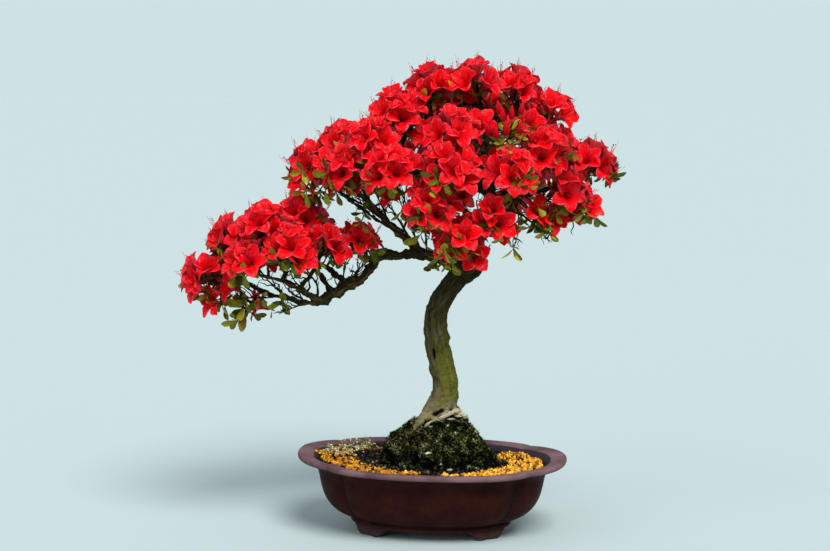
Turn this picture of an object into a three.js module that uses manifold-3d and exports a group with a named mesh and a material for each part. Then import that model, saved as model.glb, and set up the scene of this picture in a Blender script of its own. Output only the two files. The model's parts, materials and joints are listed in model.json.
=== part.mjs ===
// Azalea bonsai in flower, standing in its footed clay pot.
// Millimetres, +Z up, the pot's long axis along X, the origin on the surface under the middle.
// Tree points are given as [right, back, up] seen from the tree's front, from the pot's middle.

import * as THREE from 'three';
import { mergeVertices } from 'three/addons/utils/BufferGeometryUtils.js';
import Module from 'manifold-3d';

const wasm = await Module();
wasm.setup();

// Driving dimensions
const gap = 0.3;
const treeTurn = THREE.MathUtils.degToRad(4);

const pot = {
  halfLength: 171,
  halfWidth: 123,
  insetRatio: 0.78,
  floorRatio: 0.607,
  squareness: 2.25,
  creaseAngle: THREE.MathUtils.degToRad(41),
  creaseDepth: 0.05,
  creaseSpread: 0.13,
  endRise: 4.5,
  riseAbove: 80,
  lobeSteps: 6,
  floor: 20,
  mouth: 100,
};
const feet = {
  from: 64, to: 22, innerSize: 84, outerSize: 100.5, slope: 2, top: 14, hems: [9, 0, 0, 0, 5, 11],
};
const drain = { radius: 8, offset: 45, sides: 10 };
const screen = { size: 30, thickness: 1.2, rows: 2, columns: 2, hole: 9 };
const soil = { level: 86.5, fall: 0.025, wallGap: 0.5 };
const mound = {
  halfLength: 68,
  halfWidth: 58,
  right: 3,
  back: -4,
  steps: 14,
  roughness: 3.5,
  calmBelow: 90,
  profile: [[0, 60], [1, 60], [0.98, 106], [0.84, 122], [0.62, 132], [0.3, 144], [0, 147]],
};
const pellets = {
  cell: 10, meanRadius: 95, jitter: 0.3, depth: 4, low: 1.2, high: 5.8, wallGap: 3, moundGap: 4,
};
const bloom = {
  radius: 20.5,
  depth: 20,
  neck: 10,
  neckRadius: 2.4,
  neckSides: 3,
  neckTurn: 0.4,
  rise: 3,
  throat: 6,
  notch: 0.6,
  petals: 5,
  petalTurns: [-36, -16, 16],
};
const bunchForm = {
  candidates: 18,
  openAngle: 1.75,
  seat: 0.72,
  spacing: 27.3,
  clearance: 0.62,
  shootClearance: 0.55,
  shootGap: 14,
  lift: 0.25,
  lean: 0.35,
  lowest: -0.3,
  coreSize: 0.46,
};
const leaf = {
  length: 22, width: 9, thickness: 1.3, stem: 1.2, fold: 1.6, droop: 3.2, whorl: 7, whorlLength: 22,
};
const barkSides = { trunk: 8, branch: 4, twig: 3 };
const twig = { long: 45, thickest: 3.2, tip: 1.7, drop: 18, sag: 0.08, stopShort: 0.12 };

const goldenAngle = Math.PI * (3 - Math.sqrt(5));

// A repeatable draw between 0 and 1
function seededDraw(seed) {
  let state = (seed * 7919 + 104729) % 2147483647;
  return () => {
    state = (state * 16807) % 2147483647;
    return state / 2147483647;
  };
}

function inPot([right, back, up]) {
  const cos = Math.cos(treeTurn);
  const sin = Math.sin(treeTurn);
  return new THREE.Vector3(right * cos - back * sin, right * sin + back * cos, up);
}

// Closed geometry to a solid and back
function solidOf(geometry) {
  geometry.deleteAttribute('normal');
  geometry.deleteAttribute('uv');
  const merged = mergeVertices(geometry, 1e-4);
  const corners = merged.index.array;
  const kept = [];
  for (let i = 0; i < corners.length; i += 3) {
    const [a, b, c] = [corners[i], corners[i + 1], corners[i + 2]];
    if (a !== b && b !== c && c !== a) kept.push(a, b, c);
  }
  const vertProperties = new Float32Array(merged.attributes.position.array);
  return new wasm.Manifold(new wasm.Mesh({
    numProp: 3, vertProperties, triVerts: new Uint32Array(kept),
  }));
}

function geometryOf(solid) {
  const mesh = solid.getMesh();
  const geometry = new THREE.BufferGeometry();
  geometry.setAttribute('position', new THREE.BufferAttribute(mesh.vertProperties, 3));
  geometry.setIndex(new THREE.BufferAttribute(mesh.triVerts, 1));
  return geometry;
}

function fused(solids) {
  return solids.reduce((whole, piece) => whole.add(piece));
}

function biggestBody(solid) {
  return solid.decompose().reduce((best, body) => (body.volume() > best.volume() ? body : best));
}

// Moves every vertex of a geometry to where the rule puts it
function reshaped(geometry, rule) {
  const position = geometry.attributes.position;
  const point = new THREE.Vector3();
  for (let i = 0; i < position.count; i += 1) {
    point.fromBufferAttribute(position, i);
    const moved = rule(point);
    position.setXYZ(i, moved[0], moved[1], moved[2]);
  }
  return geometry;
}

// Turns a profile of [radius, height] about Z; the rule places each [radius, step, height]
function turned(profile, steps, rule) {
  const lathe = new THREE.LatheGeometry(profile.map(([x, y]) => new THREE.Vector2(x, y)), steps);
  return solidOf(reshaped(lathe, (point) => {
    const radius = Math.hypot(point.x, point.z);
    const turn = Math.atan2(point.x, point.z) / (2 * Math.PI);
    return rule(radius, Math.round((turn + 1) * steps) % steps, point.y);
  }));
}

// A tube that follows points, with a radius at each of them and closed ends
function tube(points, radii, sides, steps) {
  const curve = new THREE.CatmullRomCurve3(points, false, 'centripetal');
  const frames = curve.computeFrenetFrames(steps, false);
  const cylinder = new THREE.CylinderGeometry(1, 1, 1, sides, steps);
  return solidOf(reshaped(cylinder, (point) => {
    const step = Math.round((point.y + 0.5) * steps);
    const along = (step / steps) * (radii.length - 1);
    const before = Math.min(Math.floor(along), radii.length - 2);
    const radius = THREE.MathUtils.lerp(radii[before], radii[before + 1], along - before);
    const centre = curve.getPoint(step / steps);
    const out = frames.normals[step].clone().multiplyScalar(point.x * radius);
    out.addScaledVector(frames.binormals[step], -point.z * radius);
    return centre.add(out).toArray();
  }));
}

// Lobed oval of the pot: two long lobes and two end lobes that meet in four creases
function lobeAngle(step, steps) {
  const perLobe = steps / 4;
  const lobe = Math.floor(step / perLobe);
  const crease = pot.creaseAngle;
  const start = [-crease, crease, Math.PI - crease, Math.PI + crease][lobe];
  const span = lobe % 2 === 0 ? 2 * crease : Math.PI - 2 * crease;
  return start + span * (step / perLobe - lobe);
}

function lobedPoint(size, angle) {
  const cos = Math.cos(angle);
  const sin = Math.sin(angle);
  const fromCrease = Math.abs(Math.atan2(Math.abs(sin), Math.abs(cos)) - pot.creaseAngle);
  const dent = 1 - pot.creaseDepth * Math.exp(-fromCrease / pot.creaseSpread);
  const power = 2 / pot.squareness;
  const offset = pot.halfWidth - pot.insetRatio * pot.halfLength;
  const halfWidth = Math.max(pot.floorRatio * size, pot.insetRatio * size + offset);
  return [
    size * dent * Math.sign(cos) * Math.abs(cos) ** power,
    halfWidth * dent * Math.sign(sin) * Math.abs(sin) ** power,
  ];
}

// The rim stands a little higher at the pot's two ends
function endRise(x, height) {
  return height > pot.riseAbove ? pot.endRise * (x / pot.halfLength) ** 4 : 0;
}

function lobedSolid(profile) {
  const steps = 4 * pot.lobeSteps;
  return turned(profile, steps, (size, step, height) => {
    const [x, y] = lobedPoint(size, lobeAngle(step, steps));
    return [x, y, height + endRise(x, height)];
  });
}

// Pot: from the middle of its underside, out over the wall and the lip, and in to the floor
const outerProfile = [
  [0, 11], [97, 10.5], [102, 13], [102, 16.5], [99.5, 19], [116, 23.5], [130, 34], [139, 50], [144.5, 80],
  [154, 85.5], [169, 88], [171, 91], [169.5, 95.5], [152, 94],
];
const innerProfile = [[149, 90], [137, 74], [130, 46], [116, 30], [88, 20], [0, 20]];

function footSolid(side, end) {
  const steps = feet.hems.length - 1;
  const block = new THREE.BoxGeometry(1, 1, 1, steps, 1, 1);
  return solidOf(reshaped(block, (point) => {
    const along = 0.5 + point.x * side * end;
    const angle = THREE.MathUtils.degToRad(THREE.MathUtils.lerp(feet.from, feet.to, along));
    const hem = feet.hems[Math.round((1 - along) * steps)];
    const isSole = point.z < 0 && point.y < 0 && hem === 0;
    const size = point.y < 0 ? feet.outerSize : feet.innerSize;
    const [x, y] = lobedPoint(isSole ? size - feet.slope : size, angle);
    return [x * end, -y * side, point.z < 0 ? hem : feet.top];
  }));
}

function drainHole(x) {
  const hole = new THREE.CylinderGeometry(drain.radius, drain.radius, pot.floor * 2, drain.sides);
  hole.rotateX(Math.PI / 2);
  hole.translate(x, 0, pot.floor);
  return solidOf(hole);
}

function potSolid() {
  let whole = lobedSolid([...outerProfile, ...innerProfile]);
  for (const side of [1, -1]) {
    for (const end of [1, -1]) whole = whole.add(footSolid(side, end));
  }
  for (const x of [-drain.offset, drain.offset]) whole = whole.subtract(drainHole(x));
  return whole;
}

// Drain screens: small plates with a grid of square holes, on the floor over the drain holes
function drainScreen(x) {
  const middleHeight = pot.floor + gap + screen.thickness / 2;
  const plate = new THREE.BoxGeometry(screen.size, screen.size, screen.thickness);
  let whole = solidOf(plate.translate(x, 0, middleHeight));
  for (let row = 0; row < screen.rows; row += 1) {
    for (let column = 0; column < screen.columns; column += 1) {
      const left = ((column + 0.5) / screen.columns - 0.5) * screen.size;
      const low = ((row + 0.5) / screen.rows - 0.5) * screen.size;
      const hole = new THREE.BoxGeometry(screen.hole, screen.hole, 3 * screen.thickness);
      whole = whole.subtract(solidOf(hole.translate(x + left, low, middleHeight)));
    }
  }
  return whole;
}

// Wood: the trunk, its root flare and its branches
const trunk = {
  route: [
    [2, 0, 62], [4, 0, 98], [6, 0, 128], [8, 0, 150], [13, 0, 168], [15, 2, 182], [13, 4, 198], [9, 5, 216],
    [5, 5, 235], [2, 4, 254], [2, 2, 273], [7, 0, 292], [18, -3, 310], [30, -5, 327], [42, -5, 346],
    [53, -2, 372], [61, 2, 400], [66, 4, 432], [66, 2, 464], [60, -2, 500], [54, -6, 538],
  ],
  radii: [
    13, 22, 25, 22, 18, 16.5, 15.9, 15.6, 15.8, 15.4, 14.4, 13.5, 13.4, 13.8, 13, 9.5, 8, 6.6, 5.2, 3.8, 2.2,
  ],
  steps: 19,
};
const roots = [
  { route: [[13, -2, 174], [-3, -7, 152], [-20, -12, 137], [-38, -16, 120]], radii: [11, 12, 9, 5] },
  { route: [[14, 2, 164], [30, 0, 148], [44, -6, 130], [52, -8, 116]], radii: [11, 10, 7, 4] },
  { route: [[9, 2, 160], [4, 22, 147], [-4, 38, 130], [-8, 46, 116]], radii: [11, 10, 7, 4] },
];
const branches = [
  { route: [[32, -3, 334], [14, -3, 346], [-7, -4, 351], [-45, -8, 351], [-70, -10, 346], [-91, -12, 325],
    [-112, -12, 311], [-132, -14, 300], [-146, -14, 291], [-164, -14, 290], [-180, -14, 294],
    [-200, -12, 297], [-221, -12, 306], [-244, -12, 318]],
  radii: [12, 9.5, 7.6, 6.4, 6.3, 6.6, 7, 5.4, 4.4, 4.2, 4, 3.6, 3, 2.2], steps: 13 },
  { route: [[-128, -14, 302], [-143, -8, 322], [-152, -4, 336], [-156, 2, 352]], radii: [4.4, 3.8, 3.2, 2.4] },
  { route: [[-219, -12, 305], [-229, -14, 285], [-238, -18, 268]], radii: [2.4, 2, 1.5] },
  { route: [[-110, -12, 312], [-125, 18, 322], [-152, 42, 336], [-200, 50, 346]], radii: [4.6, 4, 3.2, 2.2] },
  { route: [[-143, -14, 293], [-160, -42, 306], [-186, -62, 322], [-216, -70, 330]], radii: [4, 3.6, 3, 2.2] },
  { route: [[-14, -4, 350], [-42, -4, 372], [-64, -8, 387], [-76, -10, 397], [-98, -16, 424], [-126, -14, 448]],
  radii: [6.4, 5.2, 4.4, 3.6, 3, 2.2] },
  { route: [[-60, -8, 384], [-82, 26, 414], [-106, 48, 446]], radii: [3.6, 3, 2.2] },
  { route: [[48, -2, 366], [38, -36, 384], [22, -68, 394], [4, -84, 404]], radii: [6, 4.8, 3.6, 2.6] },
  { route: [[66, 2, 428], [42, -38, 446], [2, -72, 456], [-34, -82, 460]], radii: [6, 4.8, 3.6, 2.4] },
  { route: [[62, 2, 412], [90, -4, 424], [124, -10, 434], [160, -14, 446], [186, -12, 460]],
  radii: [6, 5, 4, 3.2, 2.2] },
  { route: [[64, 2, 424], [82, -34, 428], [100, -68, 438]], radii: [5, 3.8, 2.6] },
  { route: [[52, 0, 372], [46, 44, 392], [26, 84, 414]], radii: [5.4, 4.2, 2.8] },
  { route: [[66, 3, 440], [46, 48, 456], [20, 88, 470]], radii: [5, 3.8, 2.6] },
  { route: [[66, 3, 446], [94, 38, 458], [124, 58, 470]], radii: [4.6, 3.6, 2.4] },
  { route: [[64, 0, 478], [24, -12, 500], [-16, -18, 512], [-46, -20, 514]], radii: [4.4, 3.6, 2.8, 2] },
  { route: [[62, 0, 488], [94, -4, 510], [130, -8, 522]], radii: [4, 3, 2] },
  { route: [[66, 2, 450], [14, 0, 462], [-54, 0, 462], [-112, -4, 468], [-152, -2, 464]],
  radii: [5.2, 4.6, 3.8, 3, 2.2] },
];

// Bunches of blooms: [right, back, up, radius] of each one, on the shelves of the crown
const bunches = [
  [-9, -15, 562, 34], [45, -26, 569, 33], [94, 0, 561, 34], [142, -10, 536, 28], [-54, -38, 530, 36],
  [15, -88, 508, 36], [-118, -10, 488, 36], [-83, -70, 494, 34], [-162, 0, 464, 30], [-113, -68, 464, 32],
  [-58, -98, 462, 36], [13, -118, 468, 36], [128, -68, 488, 34], [194, -12, 470, 32], [88, -104, 462, 32],
  [-9, -106, 420, 34], [30, -92, 384, 30], [72, -86, 410, 32], [160, -52, 440, 28],
  [-250, -18, 370, 33], [-286, -22, 324, 30], [-210, -56, 388, 32], [-166, -8, 398, 32], [-226, -70, 346, 32],
  [-177, -74, 360, 33], [-136, -54, 364, 30], [-96, -28, 368, 26],
  [20, 38, 552, 36], [70, 62, 528, 36], [122, 46, 518, 34], [-44, 34, 520, 36], [8, 96, 492, 36],
  [62, 112, 474, 34], [-92, 54, 478, 36], [-36, 92, 464, 36], [118, 92, 456, 34], [164, 44, 462, 32],
  [20, 104, 424, 32], [88, 82, 418, 30], [-222, 44, 362, 34], [-168, 56, 370, 33], [-258, 24, 326, 28],
];
const crownHearts = { high: [30, 0, 380], low: [-190, 0, 300], split: -70, lowTop: 408 };

// Leafy shoots: [right, back, up, radius] of each one
const shoots = [
  [-150, -28, 426, 24], [-92, -34, 404, 20], [-240, -26, 284, 28], [-192, -30, 288, 20], [2, -74, 352, 26],
  [82, -84, 506, 24], [122, -46, 402, 28], [172, -18, 410, 26], [34, 62, 372, 28],
];

function twistOf(axis) {
  const side = new THREE.Vector3(0, 0, 1).cross(axis);
  if (side.length() < 0.2) side.set(1, 0, 0).cross(axis);
  side.normalize();
  return [side, axis.clone().cross(side)];
}

function heartOf([right, , up]) {
  const isLow = right < crownHearts.split && up < crownHearts.lowTop;
  return inPot(isLow ? crownHearts.low : crownHearts.high);
}

// Blooms stand on the outer face of each bunch, in a spiral, never nearer than the spacing
function bloomPlaces() {
  const places = [];
  bunches.forEach((bunch, index) => {
    const draw = seededDraw(index + 1);
    const centre = inPot(bunch);
    const outward = centre.clone().sub(heartOf(bunch)).normalize();
    outward.z += bunchForm.lift;
    outward.normalize();
    const [side, up] = twistOf(outward);
    const reach = 1 - Math.cos(bunchForm.openAngle);
    const phase = draw() * Math.PI * 2;
    for (let k = 0; k < bunchForm.candidates; k += 1) {
      const cosPolar = 1 - reach * ((k + 0.3) / bunchForm.candidates);
      const sinPolar = Math.sqrt(1 - cosPolar * cosPolar);
      const turn = phase + k * goldenAngle;
      const direction = outward.clone().multiplyScalar(cosPolar);
      direction.addScaledVector(side, sinPolar * Math.cos(turn));
      direction.addScaledVector(up, sinPolar * Math.sin(turn));
      const at = centre.clone().addScaledVector(direction, bunch[3] * bunchForm.seat);
      const spin = draw() * Math.PI * 2;
      const size = bloom.radius * (0.92 + 0.16 * draw());
      const lean = outward.clone().multiplyScalar(bunchForm.lean).add(direction).normalize();
      const isClear = places.every((other) => other.at.distanceTo(at) > bunchForm.spacing);
      const isFree = bunches.every((other, j) => (
        j === index || inPot(other).distanceTo(at) > other[3] * bunchForm.clearance
      ));
      const isOffShoots = shoots.every((shoot) => (
        inPot(shoot).distanceTo(at) > shoot[3] * bunchForm.shootClearance + bunchForm.shootGap
      ));
      if (isClear && isFree && isOffShoots && direction.z > bunchForm.lowest) {
        places.push({ bunch: index, at, axis: lean, spin, size });
      }
    }
  });
  return places;
}

// One bloom: a funnel of five petals with notches between them, on a slim three-sided neck
function bloomGeometry({ at, axis, spin, size }) {
  const perPetal = bloom.petalTurns.length;
  const steps = bloom.petals * perPetal;
  const perSide = steps / bloom.neckSides;
  const profile = [[0, -bloom.depth], [bloom.neckRadius, -bloom.neck], [size, 0], [0, -bloom.throat]];
  const lathe = new THREE.LatheGeometry(profile.map(([x, y]) => new THREE.Vector2(x, y)), steps);
  reshaped(lathe, (point) => {
    const radius = Math.hypot(point.x, point.z);
    const step = Math.round((Math.atan2(point.x, point.z) / (2 * Math.PI) + 1) * steps) % steps;
    if (radius < 0.5) return [0, 0, point.y];
    if (point.y < 0) {
      const side = (Math.floor(step / perSide) * 2 * Math.PI) / bloom.neckSides + bloom.neckTurn;
      return [radius * Math.cos(side), radius * Math.sin(side), point.y];
    }
    const corner = step % perPetal;
    const petalTurn = (360 / bloom.petals) * Math.floor(step / perPetal);
    const turn = THREE.MathUtils.degToRad(petalTurn + bloom.petalTurns[corner]);
    const reach = size * (corner === 0 ? bloom.notch : 1);
    return [reach * Math.cos(turn), reach * Math.sin(turn), corner === 0 ? 0 : bloom.rise];
  });
  const [side, up] = twistOf(axis);
  const placed = new THREE.Matrix4().makeBasis(side, up, axis).setPosition(at);
  return lathe.applyMatrix4(new THREE.Matrix4().makeRotationZ(spin)).applyMatrix4(placed);
}

// Every point along the branches that a twig or a stem can grow from
function woodPoints() {
  const points = [];
  [trunk, ...branches].forEach(({ route, radii }, index) => {
    const curve = new THREE.CatmullRomCurve3(route.map(inPot), false, 'centripetal');
    const count = route.length * 4;
    for (let i = 0; i <= count; i += 1) {
      const along = i / count;
      if (index > 0 || along > 0.72) {
        points.push({ at: curve.getPoint(along), radius: radii[Math.round(along * (radii.length - 1))] });
      }
    }
  });
  return points;
}

const growingPoints = woodPoints();

function nearestWood(target, drop) {
  const low = target.clone();
  low.z -= drop;
  return growingPoints.reduce((best, point) => (
    point.at.distanceTo(low) < best.at.distanceTo(low) ? point : best
  ));
}

// A twig runs from the nearest branch to just short of the middle of its bunch
function twigRoute(bunch) {
  const centre = inPot(bunch);
  const root = nearestWood(centre, twig.drop);
  const length = root.at.distanceTo(centre);
  const middle = root.at.clone().lerp(centre, 0.5);
  middle.z -= twig.sag * length;
  const tip = centre.clone().lerp(root.at, twig.stopShort);
  const points = length > twig.long ? [root.at, middle, tip] : [root.at, tip];
  return { points, radius: Math.min(root.radius, twig.thickest) };
}

function woodSolid(grown) {
  const limb = ({ route, radii, steps = 3 }, sides) => (
    tube(route.map(inPot), radii.map((radius) => radius + grown), sides, steps)
  );
  const parts = [limb(trunk, barkSides.trunk)];
  for (const one of [...roots, ...branches]) parts.push(limb(one, barkSides.branch));
  for (const bunch of bunches) {
    const { points, radius } = twigRoute(bunch);
    const [before, tip] = points.slice(-2);
    tip.add(tip.clone().sub(before).setLength(grown));
    parts.push(tube(points, [radius + grown, twig.tip + grown], barkSides.twig, points.length - 1));
  }
  return fused(parts);
}

// Leafy shoots: pointed leaves on a thin stem
function leafGeometry(base, direction, size) {
  const lathe = new THREE.LatheGeometry([
    new THREE.Vector2(0, -0.5), new THREE.Vector2(1, 0), new THREE.Vector2(0, 0.5),
  ], 6);
  const [side, up] = twistOf(direction);
  return reshaped(lathe, (point) => {
    const along = 0.5 + point.z * 0.5;
    const across = point.x * 0.58 * leaf.width * size;
    const fold = Math.abs(point.x) * leaf.fold - leaf.droop * along * along;
    const lift = point.y * leaf.thickness + fold;
    return base.clone()
      .addScaledVector(direction, along * leaf.length * size)
      .addScaledVector(side, across)
      .addScaledVector(up, lift)
      .toArray();
  });
}

function stemPoints(shoot) {
  const centre = inPot(shoot);
  const root = nearestWood(centre, 0);
  const middle = root.at.clone().lerp(centre, 0.55);
  middle.z += 0.1 * root.at.distanceTo(centre);
  return [root.at, middle, centre];
}

function stemSolid(shoot, grown) {
  const radius = leaf.stem + grown;
  return tube(stemPoints(shoot), [radius, radius, radius], barkSides.twig, 2);
}

function shootSolid(shoot, index, isClear) {
  const draw = seededDraw(index + 301);
  const centre = inPot(shoot);
  const [root, middle] = stemPoints(shoot);
  const axis = centre.clone().sub(middle).normalize();
  const [side, up] = twistOf(axis);
  let whole = stemSolid(shoot, 0);
  const whorlShare = Math.min(1, leaf.whorlLength / middle.distanceTo(centre));
  for (let k = 0; k < leaf.whorl; k += 1) {
    const fromTip = k / leaf.whorl;
    const base = centre.clone().lerp(middle, fromTip * whorlShare);
    const turn = k * goldenAngle + draw();
    const open = 0.5 + 0.9 * fromTip + 0.2 * draw();
    const direction = axis.clone().multiplyScalar(Math.cos(open));
    direction.addScaledVector(side, Math.sin(open) * Math.cos(turn));
    direction.addScaledVector(up, Math.sin(open) * Math.sin(turn));
    const size = (0.8 + 0.35 * draw()) * (shoot[3] / 26);
    const tip = base.clone().addScaledVector(direction, leaf.length * size);
    if (isClear(tip) && isClear(base.clone().lerp(tip, 0.6)) && root.distanceTo(tip) > 6) {
      whole = whole.add(solidOf(leafGeometry(base, direction, size)));
    }
  }
  return whole;
}

const materials = {
  clay: new THREE.MeshStandardMaterial({ color: 0x4a2f2c, roughness: 0.62, metalness: 0 }),
  plastic: new THREE.MeshStandardMaterial({ color: 0x1c1e1c, roughness: 0.5, metalness: 0 }),
  soil: new THREE.MeshStandardMaterial({ color: 0x2e2419, roughness: 0.95, metalness: 0 }),
  moss: new THREE.MeshStandardMaterial({ color: 0x3a4a1c, roughness: 0.95, metalness: 0 }),
  pellet: new THREE.MeshStandardMaterial({ color: 0xd98a34, roughness: 0.85, metalness: 0 }),
  bark: new THREE.MeshStandardMaterial({ color: 0x5a4a38, roughness: 0.85, metalness: 0 }),
  petal: new THREE.MeshStandardMaterial({ color: 0xd8141c, roughness: 0.55, metalness: 0 }),
  leaf: new THREE.MeshStandardMaterial({ color: 0x6f8136, roughness: 0.55, metalness: 0 }),
};

const bonsai = new THREE.Group();

function addPiece(name, solid, material, anchor = new THREE.Vector3()) {
  const geometry = geometryOf(solid).translate(-anchor.x, -anchor.y, -anchor.z);
  const mesh = new THREE.Mesh(geometry, material);
  mesh.name = name;
  mesh.position.copy(anchor);
  bonsai.add(mesh);
}

// Pot and its drain screens
addPiece('pot', potSolid(), materials.clay);
addPiece('drain_screen_left', drainScreen(-drain.offset), materials.plastic);
addPiece('drain_screen_right', drainScreen(drain.offset), materials.plastic);

// Wood, and the same wood a gap fatter, which clears its place in what stands round it
const wood = woodSolid(0);
const woodRoom = woodSolid(gap);
addPiece('wood', wood, materials.bark);

// Soil: fills the pot up to a plane that falls slightly to the right
const soilUp = new THREE.Vector3(soil.fall, 0, 1).normalize();
function soilTop(x) {
  return soil.level - soil.fall * x;
}
function soilOffset(rise) {
  return (soil.level + rise) * soilUp.z;
}

function soilSolid() {
  const bottom = pot.floor + gap;
  const wall = innerProfile.slice(0, -1).reverse()
    .map(([size, height]) => [size - soil.wallGap, height + gap]);
  const filled = lobedSolid([[0, bottom], ...wall, [wall.at(-1)[0], pot.mouth], [0, pot.mouth]]);
  let whole = filled.trimByPlane(soilUp.clone().negate().toArray(), -soilOffset(0));
  for (const x of [-drain.offset, drain.offset]) {
    const size = screen.size + 2 * gap;
    const pocket = new THREE.BoxGeometry(size, size, 2 * (screen.thickness + 2 * gap));
    pocket.translate(x, 0, bottom - gap);
    whole = whole.subtract(solidOf(pocket));
  }
  return biggestBody(whole.subtract(woodRoom));
}
addPiece('soil', soilSolid(), materials.soil);

// Moss mound: the raised root ball, steep at its foot and rounded on top
function moundSize(angle) {
  const wave = 3 * Math.sin(3 * angle + 0.6) + 2 * Math.sin(5 * angle + 2);
  return [(mound.halfLength + wave) * Math.cos(angle), (mound.halfWidth + wave) * Math.sin(angle)];
}

function moundSolid() {
  const draw = seededDraw(77);
  const bumps = new Map();
  const rough = turned(mound.profile, mound.steps, (size, step, height) => {
    const key = `${step} ${height}`;
    if (!bumps.has(key)) bumps.set(key, draw() - 0.5);
    const isRough = size > 0 && height > mound.calmBelow;
    const bump = isRough ? bumps.get(key) * 2 * mound.roughness : 0;
    const [x, y] = moundSize((step / mound.steps) * 2 * Math.PI);
    const spread = size + bump / mound.halfLength;
    return [x * spread + mound.right, y * spread + mound.back, height + bump * 0.6];
  });
  const whole = rough.trimByPlane(soilUp.toArray(), soilOffset(gap));
  return biggestBody(whole.subtract(woodRoom));
}
addPiece('moss_mound', moundSolid(), materials.moss);

// Pellet beds: grains raised from a thin bed that lies between the mound and the pot's wall
function pelletBed(fromDegrees, toDegrees, seed) {
  const draw = seededDraw(seed);
  const wallSize = innerProfile[1][0] - pellets.wallGap;
  const from = THREE.MathUtils.degToRad(fromDegrees);
  const span = THREE.MathUtils.degToRad(toDegrees) - from;
  const rows = Math.round((wallSize - mound.halfLength - pellets.moundGap) / pellets.cell);
  const columns = Math.round((span * pellets.meanRadius) / pellets.cell);
  const start = 1 + pellets.moundGap / mound.halfLength;
  const block = new THREE.BoxGeometry(1, 1, 1, rows, columns, 1);
  const grains = new Map();
  const rough = solidOf(reshaped(block, (point) => {
    const row = Math.round((point.x + 0.5) * rows);
    const column = Math.round((point.y + 0.5) * columns);
    const key = `${row} ${column}`;
    if (!grains.has(key)) grains.set(key, { rise: draw(), along: draw() - 0.5, out: draw() - 0.5 });
    const grain = grains.get(key);
    const isInside = row > 0 && row < rows && column > 0 && column < columns;
    const jitter = isInside ? pellets.jitter : 0;
    const angle = from + span * ((column + jitter * 2 * grain.along) / columns);
    const outShare = (row + jitter * 2 * grain.out) / rows;
    const [outX, outY] = lobedPoint(wallSize, angle);
    const [inX, inY] = moundSize(Math.atan2(outY, outX));
    const x = THREE.MathUtils.lerp(inX * start + mound.right, outX, outShare);
    const y = THREE.MathUtils.lerp(inY * start + mound.back, outY, outShare);
    const peak = (row + column) % 2 === 0 ? 0.5 + 0.5 * grain.rise : 0;
    const rise = THREE.MathUtils.lerp(pellets.low, pellets.high, peak);
    return [x, y, soilTop(x) + (point.z < 0 ? -pellets.depth : rise)];
  }));
  return biggestBody(rough.trimByPlane(soilUp.toArray(), soilOffset(gap)));
}
addPiece('pellet_bed_left', pelletBed(118, 250, 11), materials.pellet);
addPiece('pellet_bed_right', pelletBed(-64, 62, 12), materials.pellet);

// Blooms, grouped in their bunches, each bunch on a core that its twig goes into
const places = bloomPlaces();
const stemRooms = shoots.map((shoot) => stemSolid(shoot, gap));

function roughBunch(bunch, index) {
  const centre = inPot(bunch);
  const core = new THREE.OctahedronGeometry(bunch[3] * bunchForm.coreSize, 0);
  core.translate(centre.x, centre.y, centre.z);
  const blooms = places.filter((one) => one.bunch === index).map((one) => solidOf(bloomGeometry(one)));
  return fused([solidOf(core), ...blooms]);
}
const roughBunches = bunches.map(roughBunch);

// Bunches that would cross are parted halfway, by the plane between them
function bunchSolid(index) {
  const bunch = bunches[index];
  const centre = inPot(bunch);
  let whole = roughBunches[index];
  bunches.forEach((other, j) => {
    const apart = inPot(other).sub(centre);
    const distance = apart.length();
    if (j === index || distance > bunch[3] + other[3] + 2 * bloom.radius) return;
    if (roughBunches[index].intersect(roughBunches[j]).isEmpty()) return;
    const share = bunch[3] / (bunch[3] + other[3]);
    const away = apart.normalize().negate();
    const offset = away.dot(centre) - distance * share + gap / 2;
    whole = whole.trimByPlane(away.toArray(), offset);
  });
  whole = whole.subtract(woodRoom);
  for (const room of stemRooms) whole = whole.subtract(room);
  return biggestBody(whole);
}

bunches.forEach((bunch, index) => {
  const name = `bloom_bunch_${String(index + 1).padStart(2, '0')}`;
  addPiece(name, bunchSolid(index), materials.petal, inPot(bunch));
});

// Leafy shoots, kept clear of the blooms, the cores and the wood
function isClearOfBlooms(point) {
  const isOffBlooms = places.every(({ at, size }) => at.distanceTo(point) > size + 4);
  return isOffBlooms && bunches.every((bunch) => (
    inPot(bunch).distanceTo(point) > bunch[3] * bunchForm.coreSize + 5
  ));
}

shoots.forEach((shoot, index) => {
  const whole = shootSolid(shoot, index, isClearOfBlooms).subtract(woodRoom);
  addPiece(`leafy_shoot_${index + 1}`, biggestBody(whole), materials.leaf, inPot(shoot));
});

// The origin is under the middle of the whole bonsai
const box = new THREE.Box3().setFromObject(bonsai);
const middle = box.getCenter(new THREE.Vector3());
bonsai.position.set(-middle.x, -middle.y, -box.min.z);

export default bonsai;
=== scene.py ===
# Azalea bonsai in flower: the looks of the tree, its moss and soil, and its clay pot
import json
import math

import bpy
import numpy as np
from mathutils import Matrix, Vector, bvhtree, kdtree, noise

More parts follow.
